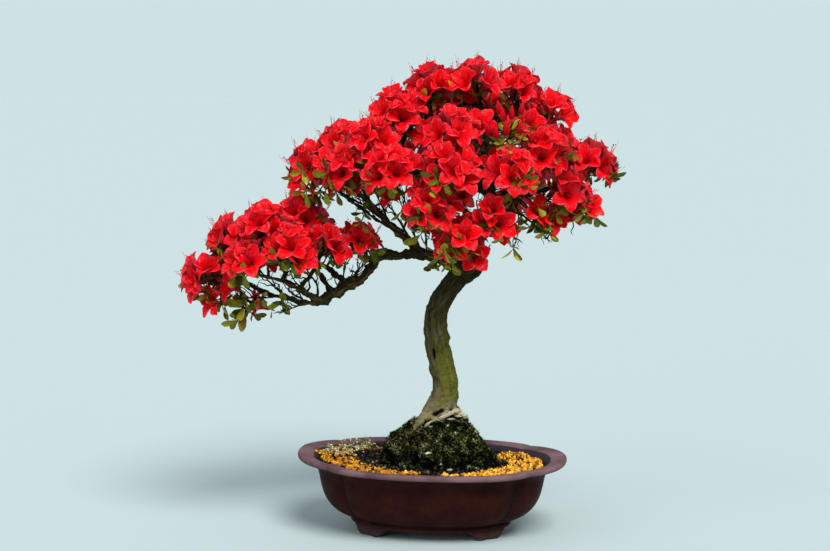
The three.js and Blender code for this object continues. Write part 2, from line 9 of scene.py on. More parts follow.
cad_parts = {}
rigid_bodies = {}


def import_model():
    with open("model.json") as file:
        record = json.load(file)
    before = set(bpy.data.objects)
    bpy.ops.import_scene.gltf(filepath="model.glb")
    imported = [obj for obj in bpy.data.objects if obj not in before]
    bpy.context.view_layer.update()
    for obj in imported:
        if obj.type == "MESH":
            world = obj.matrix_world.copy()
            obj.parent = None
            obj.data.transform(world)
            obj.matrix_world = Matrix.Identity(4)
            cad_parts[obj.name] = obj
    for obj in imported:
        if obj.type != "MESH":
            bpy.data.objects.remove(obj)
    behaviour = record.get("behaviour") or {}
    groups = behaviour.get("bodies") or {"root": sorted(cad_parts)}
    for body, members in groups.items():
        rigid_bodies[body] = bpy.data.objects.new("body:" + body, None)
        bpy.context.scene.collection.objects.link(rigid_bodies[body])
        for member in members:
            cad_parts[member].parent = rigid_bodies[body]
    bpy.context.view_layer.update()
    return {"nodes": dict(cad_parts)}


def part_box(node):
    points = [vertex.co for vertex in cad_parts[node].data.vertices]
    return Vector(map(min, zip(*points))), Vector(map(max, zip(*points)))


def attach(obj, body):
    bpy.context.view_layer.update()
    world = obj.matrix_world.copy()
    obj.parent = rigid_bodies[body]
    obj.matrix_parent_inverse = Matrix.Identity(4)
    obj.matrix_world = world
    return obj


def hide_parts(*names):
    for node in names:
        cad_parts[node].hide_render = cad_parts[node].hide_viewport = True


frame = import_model()

mm = 0.001  # lengths below are millimetres from the middle of the pot, as a grower would measure
potLow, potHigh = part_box("pot")
potShift = np.array([(potLow.x + potHigh.x) / 2, (potLow.y + potHigh.y) / 2, 0.0]) / mm
treeTurn = math.radians(4)  # how far the tree is turned from the pot's long side
fullTurn = 2 * math.pi
goldenAngle = math.pi * (3 - math.sqrt(5))
thinEdge = math.radians(95)  # faces that meet more sharply than this are shaded apart


# Small helpers

norm = np.linalg.norm
drawRange, drawFactor, seedFactor, seedShift = 2147483647, 16807, 7919, 104729


def seededDraw(seed):
    # Repeatable draws from 0 to 1, the same in every run
    state = [(seed * seedFactor + seedShift) % drawRange]

    def draw():
        state[0] = (state[0] * drawFactor) % drawRange
        return state[0] / drawRange
    return draw


def pick(draw, least, spread):
    return least + spread * draw()


def sway(draw, wide=1.0):
    # A step to either side, half of the width at most
    return (draw() - 0.5) * wide


def jitter(draw, low=0.5):
    return np.array([draw() - 0.5, draw() - 0.5, draw() - low])


def inPot(point):
    right, back, up = point[:3]
    cos, sin = math.cos(treeTurn), math.sin(treeTurn)
    return np.array([right * cos - back * sin, right * sin + back * cos, up], float)


def unit(vector):
    return vector / norm(vector)


def smooth(value, low, high):
    share = np.clip((value - low) / (high - low), 0, 1)
    return share * share * (3 - 2 * share)


def noiseAt(points, size, seed=0.0):
    shift = Vector((seed * 3.1, seed * 1.7, -seed))
    return np.array([noise.noise(Vector(p) / size + shift) for p in points])


def twistOf(axis):
    # Two directions square to an axis; the second one points up where it can
    side = np.cross((0, 0, 1), axis)
    if norm(side) < 0.2:
        side = np.cross((1, 0, 0), axis)
    side = unit(side)
    return side, np.cross(axis, side)


def around(side, up, turn):
    return side * math.cos(turn) + up * math.sin(turn)


def addNode(tree, kind, sockets=None, **settings):
    node = tree.nodes.new(kind)
    for key, value in settings.items():
        setattr(node, key, value)
    for key, value in (sockets or {}).items():
        if isinstance(value, bpy.types.NodeSocket):
            tree.links.new(value, node.inputs[key])
        else:
            node.inputs[key].default_value = value
    return node


def storeValues(mesh, values):
    for key, value in values.items():
        value = np.asarray(value)
        kind = "FLOAT_VECTOR" if value.ndim > 1 else "INT" if value.dtype.kind == "i" else "FLOAT"
        slot = "vector" if value.ndim > 1 else "value"
        mesh.attributes.new(key, kind, "POINT").data.foreach_set(slot, value.ravel())


def newObject(name, data):
    made = bpy.data.objects.new(name, data)
    bpy.context.scene.collection.objects.link(made)
    return made


def meshPiece(name, points, faces, material=None, values=None):
    mesh = bpy.data.meshes.new(name)
    mesh.from_pydata(((np.asarray(points, float) + potShift) * mm).tolist(), [], faces)
    mesh.shade_smooth()
    storeValues(mesh, values or {})
    if material:
        mesh.materials.append(material)
    return newObject(name, mesh)


def settled(piece):
    # The evaluated result becomes a plain mesh and the modifiers go
    graph = bpy.context.evaluated_depsgraph_get()
    mesh = bpy.data.meshes.new_from_object(
        piece.evaluated_get(graph), preserve_all_data_layers=True, depsgraph=graph)
    name = piece.name
    bpy.data.objects.remove(piece)
    return newObject(name, mesh)


def ringFaces(rings, steps, first=0):
    faces = []
    for ring in range(rings - 1):
        for step in range(steps):
            here = first + ring * steps + step
            beside = first + ring * steps + (step + 1) % steps
            faces.append((here, beside, beside + steps, here + steps))
    return faces


def cappedFaces(rings, steps, first=0):
    # Rings closed at both ends
    last = first + (rings - 1) * steps
    return [*ringFaces(rings, steps, first), tuple(range(first, first + steps))[::-1],
            tuple(range(last, last + steps))]


def domedFaces(rings, steps):
    # Rings closed below, and drawn together in one last point above
    last = (rings - 1) * steps
    fan = [(last + k, last + (k + 1) % steps, last + steps) for k in range(steps)]
    return [*ringFaces(rings, steps), tuple(range(steps))[::-1], *fan]


def finishPiece(piece, slot, *nodes):
    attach(piece, "root")
    if nodes:
        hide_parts(*nodes)
    print(piece.name, len(piece.data.polygons), "faces")


# Geometry Nodes trees: scatter copies on points, sweep limbs along curves, grow tufts on a surface

def startTree(name, inputs):
    tree = bpy.data.node_groups.new(name, "GeometryNodeTree")
    sockets = {}
    tree.interface.new_socket(name="Geometry", in_out="INPUT", socket_type="NodeSocketGeometry")
    for key, kind in inputs.items():
        sockets[key] = tree.interface.new_socket(name=key, in_out="INPUT", socket_type=kind)
    tree.interface.new_socket(name="Geometry", in_out="OUTPUT", socket_type="NodeSocketGeometry")
    return tree, addNode(tree, "NodeGroupInput"), {key: one.identifier for key, one in sockets.items()}


def endTree(tree, geometry, material):
    whole = addNode(tree, "GeometryNodeRealizeInstances", {"Geometry": geometry})
    dressed = addNode(tree, "GeometryNodeSetMaterial", {"Geometry": whole.outputs[0], "Material": material})
    addNode(tree, "NodeGroupOutput", {"Geometry": dressed.outputs[0]})


def useTree(piece, tree, names, values):
    modifier = piece.modifiers.new(tree.name, "NODES")
    modifier.node_group = tree
    for key, value in values.items():
        modifier[names[key]] = value
    return settled(piece)


def namedValue(tree, key, kind="FLOAT"):
    return addNode(tree, "GeometryNodeInputNamedAttribute", {"Name": key}, data_type=kind).outputs[0]


def variantCollection(name, variants):
    collection = bpy.data.collections.new(name)
    for number, (points, faces, values) in enumerate(variants):
        mesh = bpy.data.meshes.new(f"{name}{number:02d}")
        mesh.from_pydata((np.asarray(points, float) * mm).tolist(), [], faces)
        mesh.shade_smooth()
        mesh.set_sharp_from_angle(angle=thinEdge)
        storeValues(mesh, values)
        collection.objects.link(bpy.data.objects.new(mesh.name, mesh))
    return collection


def dropCollection(collection):
    for one in list(collection.objects):
        bpy.data.objects.remove(one)
    bpy.data.collections.remove(collection)


def scattered(name, variants, places, material):
    # places: dictionaries of at, turn (a 3x3 matrix), grow, kind and tint
    collection = variantCollection(name + "Shape", variants)
    tree, start, names = startTree(name + "Scatter", {"Size": "NodeSocketFloat"})
    shapes = addNode(tree, "GeometryNodeCollectionInfo", {
        "Collection": collection, "Separate Children": True, "Reset Children": True})
    turn = addNode(tree, "FunctionNodeEulerToRotation", {0: namedValue(tree, "turn", "FLOAT_VECTOR")})
    grow = addNode(tree, "ShaderNodeMath", {0: namedValue(tree, "grow"), 1: start.outputs["Size"]},
                   operation="MULTIPLY")
    copies = addNode(tree, "GeometryNodeInstanceOnPoints", {
        "Points": start.outputs["Geometry"], "Instance": shapes.outputs[0], "Pick Instance": True,
        "Instance Index": namedValue(tree, "kind", "INT"), "Rotation": turn.outputs[0],
        "Scale": grow.outputs[0]})
    endTree(tree, copies.outputs[0], material)
    turns = [list(Matrix(place["turn"].tolist()).to_euler("XYZ")) for place in places]
    points = meshPiece(name, [place["at"] for place in places], [], values={
        "turn": np.array(turns), "grow": np.array([place["grow"] for place in places]),
        "kind": np.array([place["kind"] % len(variants) for place in places]),
        "tint": np.array([place["tint"] for place in places])})
    piece = useTree(points, tree, names, {"Size": 1.0})
    dropCollection(collection)
    return piece


def sweptLimbs(name, limbs, material, sides):
    # limbs: pairs of points and radii; the tree sweeps a circle along each of them
    curve = bpy.data.curves.new(name, "CURVE")
    curve.dimensions = "3D"
    for points, radii in limbs:
        spline = curve.splines.new("POLY")
        spline.points.add(len(points) - 1)
        places = np.c_[(points + potShift) * mm, np.ones(len(points))]
        spline.points.foreach_set("co", places.ravel())
        spline.points.foreach_set("radius", np.asarray(radii, float) * mm)
    tree, start, names = startTree(name + "Sweep", {"Sides": "NodeSocketInt"})
    circle = addNode(tree, "GeometryNodeCurvePrimitiveCircle", {
        "Resolution": start.outputs["Sides"], "Radius": 1.0})
    tube = addNode(tree, "GeometryNodeCurveToMesh", {
        "Curve": start.outputs["Geometry"], "Profile Curve": circle.outputs[0], "Fill Caps": True})
    if "Scale" in tube.inputs:  # newer Blender asks for the radius here, older ones take it from the curve
        tree.links.new(addNode(tree, "GeometryNodeInputRadius").outputs[0], tube.inputs["Scale"])
    even = addNode(tree, "GeometryNodeSetShadeSmooth", {"Geometry": tube.outputs[0]})
    endTree(tree, even.outputs[0], material)
    return useTree(newObject(name, curve), tree, names, {"Sides": sides})


# Materials

def startMaterial(name, **sockets):
    material = bpy.data.materials.new(name)
    material.use_nodes = True
    shader = material.node_tree.nodes["Principled BSDF"]
    for key, value in sockets.items():
        shader.inputs[key.replace("_", " ")].default_value = value
    return material, material.node_tree, shader


def noiseNode(tree, scale, detail=4.0, roughness=0.55, vector=None):
    where = vector or addNode(tree, "ShaderNodeMapping", {
        "Vector": addNode(tree, "ShaderNodeTexCoord").outputs["Object"]}).outputs[0]
    return addNode(tree, "ShaderNodeTexNoise", {
        "Vector": where, "Scale": scale, "Detail": detail, "Roughness": roughness}).outputs[0]


def rampNode(tree, value, stops):
    ramp = addNode(tree, "ShaderNodeValToRGB", {0: value})
    points = ramp.color_ramp.elements
    while len(points) < len(stops):
        points.new(0.5)
    for point, (position, colour) in zip(points, stops):
        point.position = position
        point.color = (*colour, 1)
    return ramp.outputs[0]


def mixNode(tree, share, first, second, blend="MIX"):
    mix = addNode(tree, "ShaderNodeMix", data_type="RGBA", blend_type=blend)
    for key, value in ((0, share), (6, first), (7, second)):
        if isinstance(value, bpy.types.NodeSocket):
            tree.links.new(value, mix.inputs[key])
        else:
            mix.inputs[key].default_value = (*value, 1) if key else value
    return mix.outputs[2]


def mathNode(tree, operation, first, second=0.0, third=0.0):
    return addNode(tree, "ShaderNodeMath", {0: first, 1: second, 2: third}, operation=operation).outputs[0]


def timesNode(tree, first, second):
    return mathNode(tree, "MULTIPLY", first, second)


def rangeNode(tree, value, low, high, toLow=0.0, toHigh=1.0):
    return addNode(tree, "ShaderNodeMapRange", {
        "Value": value, "From Min": low, "From Max": high, "To Min": toLow, "To Max": toHigh}).outputs[0]


def patchNode(tree, grain, spread):
    return rangeNode(tree, noiseNode(tree, *grain), *spread)


def attributeNode(tree, key):
    return addNode(tree, "ShaderNodeAttribute", attribute_name=key).outputs["Fac"]


def heightNode(tree):
    where = addNode(tree, "ShaderNodeTexCoord")
    return addNode(tree, "ShaderNodeSeparateXYZ", {0: where.outputs["Object"]}).outputs["Z"]


def paint(tree, shader, colour):
    tree.links.new(colour, shader.inputs["Base Color"])


def bumpNode(tree, shader, height, strength, distance):
    bump = addNode(tree, "ShaderNodeBump", {"Height": height, "Strength": strength, "Distance": distance})
    tree.links.new(bump.outputs[0], shader.inputs["Normal"])


# In the looks below a noise is its scale, detail and roughness, a range is from, to and what these become,
# stops are positions with colours, and a bump is its strength and depth. Heights are in metres.
# Clay: the crease colour is painted shade along the creases, the inside colour painted shade on the inside
# wall
clayLook = {
    "body": (0.034, 0.0075, 0.0055), "bodyDark": (0.017, 0.004, 0.0035), "rim": (0.155, 0.088, 0.098),
    "rimDark": (0.080, 0.044, 0.050), "stain": (0.12, 0.07, 0.06), "crease": (0.017, 0.006, 0.006),
    "inside": (0.022, 0.020, 0.032), "insideShadeShare": 0.9, "rimHeights": (0.0868, 0.0895),
    "paleFootHeights": (0.016, 0.004, 0.0, 0.55), "cloud": ((38.0, 5.0), (0.35, 0.68)),
    "rimCloud": ((24.0, 4.0), (0.35, 0.6)), "specks": ((900.0, 2.0), (0.66, 0.72, 0.0, 0.35)),
    "gloss": ((60.0, 3.0), (0.3, 0.7, 0.45, 0.65)), "grit": (420.0, 5.0), "gritBump": (0.3, 0.0008),
}


def clayMaterial():
    look = clayLook
    material, tree, shader = startMaterial("firedClay", Roughness=0.5, Specular_IOR_Level=0.03)
    body = mixNode(tree, patchNode(tree, *look["cloud"]), look["bodyDark"], look["body"])
    # Painted shade along the creases between the lobes
    creaseShaded = mixNode(tree, attributeNode(tree, "crease"), body, look["crease"])
    # Paler towards the foot, with the rim's darker colour mixed in
    paleFooted = mixNode(tree, rangeNode(tree, heightNode(tree), *look["paleFootHeights"]), creaseShaded, look["rimDark"])
    rimShade = mixNode(tree, patchNode(tree, *look["rimCloud"]), look["rimDark"], look["rim"])
    rimmed = mixNode(tree, rangeNode(tree, heightNode(tree), *look["rimHeights"]), paleFooted, rimShade)
    # Painted shade, dark and bluish, over the inside wall
    insideShadeShare = timesNode(tree, attributeNode(tree, "inside"), look["insideShadeShare"])
    insideShaded = mixNode(tree, insideShadeShare, rimmed, look["inside"])
    paint(tree, shader, mixNode(tree, patchNode(tree, *look["specks"]), insideShaded, look["stain"]))
    tree.links.new(patchNode(tree, *look["gloss"]), shader.inputs["Roughness"])
    bumpNode(tree, shader, noiseNode(tree, *look["grit"]), *look["gritBump"])
    return material


groundLooks = {
    "orangePellet": {"grain": 400.0, "roughness": 1.0, "stops": [
        (0.0, (0.09, 0.035, 0.008)), (0.2, (0.38, 0.15, 0.012)), (0.6, (0.66, 0.31, 0.022)),
        (1.0, (0.88, 0.55, 0.09))]},
    "darkCrumb": {"grain": 500.0, "roughness": 1.0, "stops": [
        (0.0, (0.004, 0.004, 0.005)), (0.45, (0.018, 0.013, 0.010)), (0.8, (0.07, 0.05, 0.03)),
        (1.0, (0.36, 0.32, 0.22))]},
    "paleChip": {"grain": 300.0, "roughness": 0.95, "stops": [
        (0.0, (0.06, 0.055, 0.03)), (0.5, (0.20, 0.19, 0.12)), (1.0, (0.50, 0.48, 0.36))]},
    "dryMossStrand": {"grain": 300.0, "roughness": 1.0, "stops": [
        (0.0, (0.05, 0.05, 0.015)), (0.5, (0.32, 0.31, 0.13)), (1.0, (0.70, 0.66, 0.42))]},
}
groundWear, groundBump = (0.25, 0.75, -0.1, 0.1), (0.6, 0.0005)


def groundMaterial(name):
    # Colour of each grain from its tint, darkened and broken up by a fine noise
    look = groundLooks[name]
    material, tree, shader = startMaterial(name, Roughness=look["roughness"], Specular_IOR_Level=0.1)
    worn = patchNode(tree, (look["grain"], 3.0), groundWear)
    paint(tree, shader, rampNode(
        tree, mathNode(tree, "ADD", attributeNode(tree, "tint"), worn), look["stops"]))
    bumpNode(tree, shader, noiseNode(tree, look["grain"] * 2, 3.0), *groundBump)
    return material


soilLook = {
    "crumbs": (320.0, 5.0, 0.65), "crumbBump": (0.9, 0.0015), "stops": [
        (0.3, (0.003, 0.003, 0.004)), (0.52, (0.012, 0.009, 0.008)), (0.7, (0.04, 0.03, 0.02)),
        (0.82, (0.12, 0.09, 0.05))],
}


def soilMaterial():
    material, tree, shader = startMaterial("pottingSoil", Roughness=1.0, Specular_IOR_Level=0.05)
    crumbs = noiseNode(tree, *soilLook["crumbs"])
    paint(tree, shader, rampNode(tree, crumbs, soilLook["stops"]))
    bumpNode(tree, shader, crumbs, *soilLook["crumbBump"])
    return material


# Moss: near-black, dull green and yellow-green patches by noise; painted shade darkens it low down, and on
# the mound painted light brightens the raised lumps and painted shade darkens the dips between them
mossLook = {
    "stops": [(0.375, (0.0025, 0.003, 0.0025)), (0.47, (0.022, 0.029, 0.010)), (0.56, (0.078, 0.092, 0.028)),
              (0.69, (0.33, 0.33, 0.14))],
    "pads": (100.0, 4.0, 0.6), "shadeHeights": (0.100, 0.118, -0.09, 0.0), "toneAndLumpShadingRange": (0.0, 1.0, 0.1, 2.1),
    "fine": ((400.0, 3.0, 0.6), (0.45, 0.66, 0.05, 1.8)), "brown": (1.1, 0.97, 0.8),
    "brownPatches": ((26.0, 3.0), (0.5, 0.62)), "grit": (420.0, 5.0, 0.7), "gritBump": (1.0, 0.0015),
}


def mossMaterial():
    look = mossLook
    material, tree, shader = startMaterial("moss", Roughness=1.0, Specular_IOR_Level=0.05)
    # Painted shade low down
    low = rangeNode(tree, heightNode(tree), *look["shadeHeights"])
    shade = rampNode(tree, mathNode(tree, "ADD", noiseNode(tree, *look["pads"]), low), look["stops"])
    # The tint is a random tone on tufts; on the mound it is painted light on raised lumps and painted shade
    # in the dips
    tint = timesNode(tree, patchNode(tree, *look["fine"]),
                     rangeNode(tree, attributeNode(tree, "tint"), *look["toneAndLumpShadingRange"]))
    brown = mixNode(tree, 1.0, shade, look["brown"], "MULTIPLY")
    browned = mixNode(tree, patchNode(tree, *look["brownPatches"]), shade, brown)
    grey = addNode(tree, "ShaderNodeCombineColor", {0: tint, 1: tint, 2: tint}).outputs[0]
    paint(tree, shader, mixNode(tree, 1.0, browned, grey, "MULTIPLY"))
    bumpNode(tree, shader, noiseNode(tree, *look["grit"]), *look["gritBump"])
    return material


# Bark: green-grey on the trunk, pale at its flare, near-black painted shade under the crown and in carved
# hollows
barkLook = {
    "stops": [(0.3, (0.012, 0.010, 0.005)), (0.48, (0.058, 0.047, 0.020)), (0.74, (0.155, 0.138, 0.078))],
    "algae": (0.094, 0.098, 0.010), "dark": (0.011, 0.010, 0.004), "barkBrownAndHighlight": (0.052, 0.043, 0.018),
    "limb": (0.165, 0.090, 0.038), "bare": (0.34, 0.31, 0.19), "hollow": (0.003, 0.002, 0.001),
    "flare": (0.24, 0.21, 0.115), "grain": (300.0, 6.0, 0.68), "grainBump": (0.9, 0.0014),
    "blotches": (48.0, 4.0, 0.6), "sideLight": 0.16, "algaeRange": (0.36, 0.6, 0.0, 0.8),
    "algaeHeights": (0.36, 0.20), "flareRange": (0.66, 0.42, 0.0, 0.62), "flareHeights": (0.185, 0.15),
    "shadeHeights": (0.255, 0.345), "shadeWander": 0.06, "darkest": 0.94, "highlightGrainRange": (0.47, 0.68, 0.0, 0.8),
    "flecks": ((850.0, 3.0, 0.6), (0.3, 0.7, 0.5, 1.5)),
}


def barkMaterial():
    look = barkLook
    material, tree, shader = startMaterial("bark", Roughness=0.95, Specular_IOR_Level=0.06)
    flow = addNode(tree, "ShaderNodeAttribute", attribute_name="flow").outputs["Vector"]
    grain = noiseNode(tree, *look["grain"], vector=flow)
    blotch = noiseNode(tree, *look["blotches"])
    height = heightNode(tree)
    wood = rampNode(tree, grain, look["stops"])
    lit = mathNode(tree, "MULTIPLY_ADD", attributeNode(tree, "side"), look["sideLight"], blotch)
    algae = timesNode(tree, rangeNode(tree, lit, *look["algaeRange"]),
                      rangeNode(tree, height, *look["algaeHeights"]))
    flare = timesNode(tree, rangeNode(tree, height, *look["flareHeights"]),
                      rangeNode(tree, lit, *look["flareRange"]))
    green = mixNode(tree, flare, mixNode(tree, algae, wood, look["algae"]), look["flare"])
    wander = mathNode(tree, "MULTIPLY_ADD", blotch, look["shadeWander"], height)
    # Under the crown the bark is near-black painted shade, streaked along the grain with brown that is partly
    # its own colour and partly painted highlight
    barkBrownAndHighlight = mixNode(tree, attributeNode(tree, "limb"), look["barkBrownAndHighlight"], look["limb"])
    worn = mixNode(tree, rangeNode(tree, grain, *look["highlightGrainRange"]), look["dark"], barkBrownAndHighlight)
    # The painted shade deepens from the upper trunk up into the crown
    shade = timesNode(tree, rangeNode(tree, wander, *look["shadeHeights"]), look["darkest"])
    bared = mixNode(tree, attributeNode(tree, "bare"), mixNode(tree, shade, green, worn), look["bare"])
    flecked = mixNode(tree, 1.0, bared, patchNode(tree, *look["flecks"]), "MULTIPLY")
    # Painted shade in the carved hollows and grooves
    paint(tree, shader, mixNode(tree, attributeNode(tree, "hollow"), flecked, look["hollow"]))
    bumpNode(tree, shader, grain, *look["grainBump"])
    return material


# Petals: scarlet to crimson, painted coral highlights at the edges and in patches, paler backs that are
# partly a painted highlight, dark red in the throat that is partly painted shade, with fine dark streaks
petalLook = {
    "throat": (0.30, 0.0, 0.003), "scarlet": (0.83, 0.0006, 0.003), "crimson": (0.66, 0.0005, 0.006),
    "coralHighlight": (0.88, 0.12, 0.15), "behind": (0.88, 0.075, 0.10), "streak": (0.30, 0.0, 0.004),
    "cloud": (55.0, 3.0), "cloudRange": (0.6, 1.5), "backToneAndSheenRange": (0.5, 0.8, 0.0, 0.9),
    "edgeRange": (0.6, 1.0), "highlightPatches": ((110.0, 3.0), (0.52, 0.7)), "highlightReach": (0.45, 0.85, 0.0, 0.3),
    "throatShadeRange": (0.52, 0.22, 0.0, 0.9), "streaks": 19.0, "streakRange": (0.4, 1.0),
    "streakReach": (0.95, 0.4, 0.05, 0.5), "ribs": 0.5, "fine": (330.0, 4.0), "ribBump": (0.42, 0.0009),
}


def petalMaterial():
    look = petalLook
    material, tree, shader = startMaterial(
        "petal", Roughness=0.32, Specular_IOR_Level=0.11, Specular_Tint=(1.0, 0.5, 0.55, 1.0),
        Sheen_Weight=0.03, Sheen_Roughness=0.3, Sheen_Tint=(1.0, 0.4, 0.46, 1.0),
        Subsurface_Weight=0.3, Subsurface_Scale=0.003, Subsurface_Radius=(1.0, 0.05, 0.04))
    along, across = attributeNode(tree, "along"), attributeNode(tree, "across")
    cloud = mathNode(tree, "ADD", attributeNode(tree, "tint"), noiseNode(tree, *look["cloud"]))
    base = mixNode(tree, rangeNode(tree, cloud, *look["cloudRange"]), look["scarlet"], look["crimson"])
    # Paler backs and blade edges: partly the petal's own paler underside, partly a painted glancing highlight
    behind = rangeNode(tree, attributeNode(tree, "behind"), *look["backToneAndSheenRange"])
    pale = mixNode(tree, behind, base, look["behind"])
    # Painted coral highlight at the edges and in noise patches, growing towards the tips
    edge = rangeNode(tree, mathNode(tree, "ABSOLUTE", across), *look["edgeRange"])
    thin = mathNode(tree, "MAXIMUM", edge, patchNode(tree, *look["highlightPatches"]))
    coralHighlight = timesNode(tree, thin, rangeNode(tree, along, *look["highlightReach"]))
    rimmed = mixNode(tree, coralHighlight, pale, look["coralHighlight"])
    # Dark red in the throat: partly the flower's own blotch, partly painted shade deep in the funnel
    deep = mixNode(tree, rangeNode(tree, along, *look["throatShadeRange"]), rimmed, look["throat"])
    wave = mathNode(tree, "COSINE", timesNode(tree, across, look["streaks"]))
    streak = timesNode(tree, rangeNode(tree, wave, *look["streakRange"]),
                       rangeNode(tree, along, *look["streakReach"]))
    paint(tree, shader, mixNode(tree, streak, deep, look["streak"]))
    relief = mathNode(tree, "ADD", timesNode(tree, wave, look["ribs"]), noiseNode(tree, *look["fine"]))
    bumpNode(tree, shader, relief, *look["ribBump"])
    return material


leafLook = {
    "stops": [(0.0, (0.022, 0.032, 0.002)), (0.3, (0.070, 0.085, 0.004)), (0.6, (0.17, 0.18, 0.008)),
              (0.88, (0.42, 0.40, 0.028)), (1.0, (0.24, 0.07, 0.010))],
    "worn": (0.085, 0.075, 0.010), "rib": (0.26, 0.29, 0.05), "edge": (0.18, 0.035, 0.008),
    "cloud": ((260.0, 4.0), (0.3, 0.75, 0.0, 0.4)), "ribRange": (0.14, 0.02),
    "ribFade": (1.0, 0.2, 0.2, 0.8), "edgeRange": (0.8, 1.0), "edgeTint": (0.3, 0.9), "edgeShare": 0.5,
    "veins": 42.0, "veinSlant": -9.0, "veinBump": (0.25, 0.0003),
}


def leafMaterial():
    look = leafLook
    material, tree, shader = startMaterial("leaf", Roughness=0.42, Specular_IOR_Level=0.13,
                                           Subsurface_Weight=0.08, Subsurface_Scale=0.002)
    along, tint = attributeNode(tree, "along"), attributeNode(tree, "tint")
    across = mathNode(tree, "ABSOLUTE", attributeNode(tree, "across"))
    worn = mixNode(tree, patchNode(tree, *look["cloud"]), rampNode(tree, tint, look["stops"]), look["worn"])
    rib = timesNode(tree, rangeNode(tree, across, *look["ribRange"]),
                    rangeNode(tree, along, *look["ribFade"]))
    edge = timesNode(tree, rangeNode(tree, across, *look["edgeRange"]),
                     rangeNode(tree, tint, *look["edgeTint"]))
    ribbed = mixNode(tree, rib, worn, look["rib"])
    paint(tree, shader, mixNode(tree, timesNode(tree, edge, look["edgeShare"]), ribbed, look["edge"]))
    slant = timesNode(tree, across, look["veinSlant"])
    veins = mathNode(tree, "SINE", mathNode(tree, "MULTIPLY_ADD", along, look["veins"], slant))
    bumpNode(tree, shader, veins, *look["veinBump"])
    return material


# Stamens from their foot to the dark pollen, and buds from their green foot to the red tip
stamenLook = {
    "key": "part", "roughness": 0.6,
    "stops": [(0.0, (0.50, 0.003, 0.010)), (0.6, (0.62, 0.015, 0.03)), (0.9, (0.06, 0.006, 0.010))],
}
budLook = {
    "key": "along", "roughness": 0.45,
    "stops": [(0.0, (0.07, 0.09, 0.008)), (0.24, (0.24, 0.27, 0.02)), (0.36, (0.30, 0.001, 0.006)),
              (1.0, (0.66, 0.004, 0.016))],
}


def stalkMaterial(name, look):
    material, tree, shader = startMaterial(name, Roughness=look["roughness"], Specular_IOR_Level=0.1)
    paint(tree, shader, rampNode(tree, attributeNode(tree, look["key"]), look["stops"]))
    return material


screenLook = {
    "cloud": 200.0, "stops": [(0.3, (0.012, 0.014, 0.012)), (0.7, (0.03, 0.034, 0.03))], "grit": 900.0,
    "gritBump": (0.2, 0.0003),
}


def screenMaterial():
    material, tree, shader = startMaterial("screenPlastic", Roughness=0.5)
    paint(tree, shader, rampNode(tree, noiseNode(tree, screenLook["cloud"]), screenLook["stops"]))
    bumpNode(tree, shader, noiseNode(tree, screenLook["grit"]), *screenLook["gritBump"])
    return material


# Pot: lobed oval, four lobes that meet in sharp creases, as one closed turned wall on four feet
pot = {
    "halfLength": 171, "halfWidth": 123, "insetRatio": 0.78, "floorRatio": 0.607, "squareness": 2.25,
    "creaseAngle": math.radians(41), "creaseDepth": 0.054, "creaseSpread": 0.12, "creaseShadeWidth": 0.045,
    "endRise": 4.5, "riseHeights": (80, 86), "stepsPerLobe": 44, "even": 0.45, "crowded": 0.55,
    "cornerSteps": 4, "shortest": 0.2, "waver": 0.35, "waverSize": 45.0, "waverHeights": (18, 30),
    "mouthSize": 150.5, "sharpEdge": math.radians(38),
}
# Each point of the wall: size, height, and how far its corner is rounded
wallProfile = [
    (97, 10.5, 0.1), (102, 13, 0.35), (102, 16.5, 0.35), (99.5, 19, 0.25), (116, 23.5, 0.5), (130, 34, 0.5),
    (139, 50, 0.5), (144.5, 80, 0.35), (154, 85.5, 0.35), (169, 88, 0.3), (171, 91, 0.5),
    (169.5, 95.5, 0.45), (152, 94, 0.4), (149, 90, 0.4), (137, 74, 0.5), (130, 46, 0.5), (116, 30, 0.5),
    (88, 20, 0.3),
]
# Each foot, from one end of its arc to the other: a scallop down to the flat sole, and two scallops up again
feet = {
    "from": 64, "to": 22, "inner": 84, "outer": 100.5, "top": 14, "steps": 40, "arc": 0.2, "flatEnd": 0.6,
    "swellEnd": 0.8, "scallops": (9, 5, 6), "swell": 0.7,
}
# A cut through the foot: which size a point is counted from, how far from it, and how high from hem to top
footCut = (
    ("inner", 0, 1), ("outer", -1, 1), ("outer", 0, 0.7), ("outer", -0.2, 0.35), ("outer", -0.9, 0.12),
    ("outer", -2.4, 0), ("inner", 2, 0), ("inner", 0.6, 0.15),
)
drain = {"radius": 8, "offset": 45, "sides": 40, "floor": 20, "below": -4.0}


def lobeAngles(perLobe):
    crease = pot["creaseAngle"]
    angles = []
    for lobe, start in enumerate((-crease, crease, math.pi - crease, math.pi + crease)):
        span = 2 * crease if lobe % 2 == 0 else math.pi - 2 * crease
        even = np.arange(perLobe) / perLobe
        crowded = 0.5 - 0.5 * np.cos(math.pi * even)  # closer together beside the creases
        angles.append(start + span * (pot["even"] * even + pot["crowded"] * crowded))
    return np.concatenate(angles)


def fromCrease(angles):
    return np.abs(np.arctan2(np.abs(np.sin(angles)), np.abs(np.cos(angles))) - pot["creaseAngle"])


def lobedPoints(size, angles):
    angles = np.asarray(angles, float)
    cos, sin = np.cos(angles), np.sin(angles)
    dent = 1 - pot["creaseDepth"] * np.exp(-fromCrease(angles) / pot["creaseSpread"])
    power = 2 / pot["squareness"]
    offset = pot["halfWidth"] - pot["insetRatio"] * pot["halfLength"]
    halfWidth = np.maximum(pot["floorRatio"] * size, pot["insetRatio"] * size + offset)
    return np.stack([size * dent * np.sign(cos) * np.abs(cos) ** power,
                     halfWidth * dent * np.sign(sin) * np.abs(sin) ** power], -1)


def endRise(x, height):
    # The rim stands a little higher at the pot's two ends
    return pot["endRise"] * (x / pot["halfLength"]) ** 4 * smooth(height, *pot["riseHeights"])


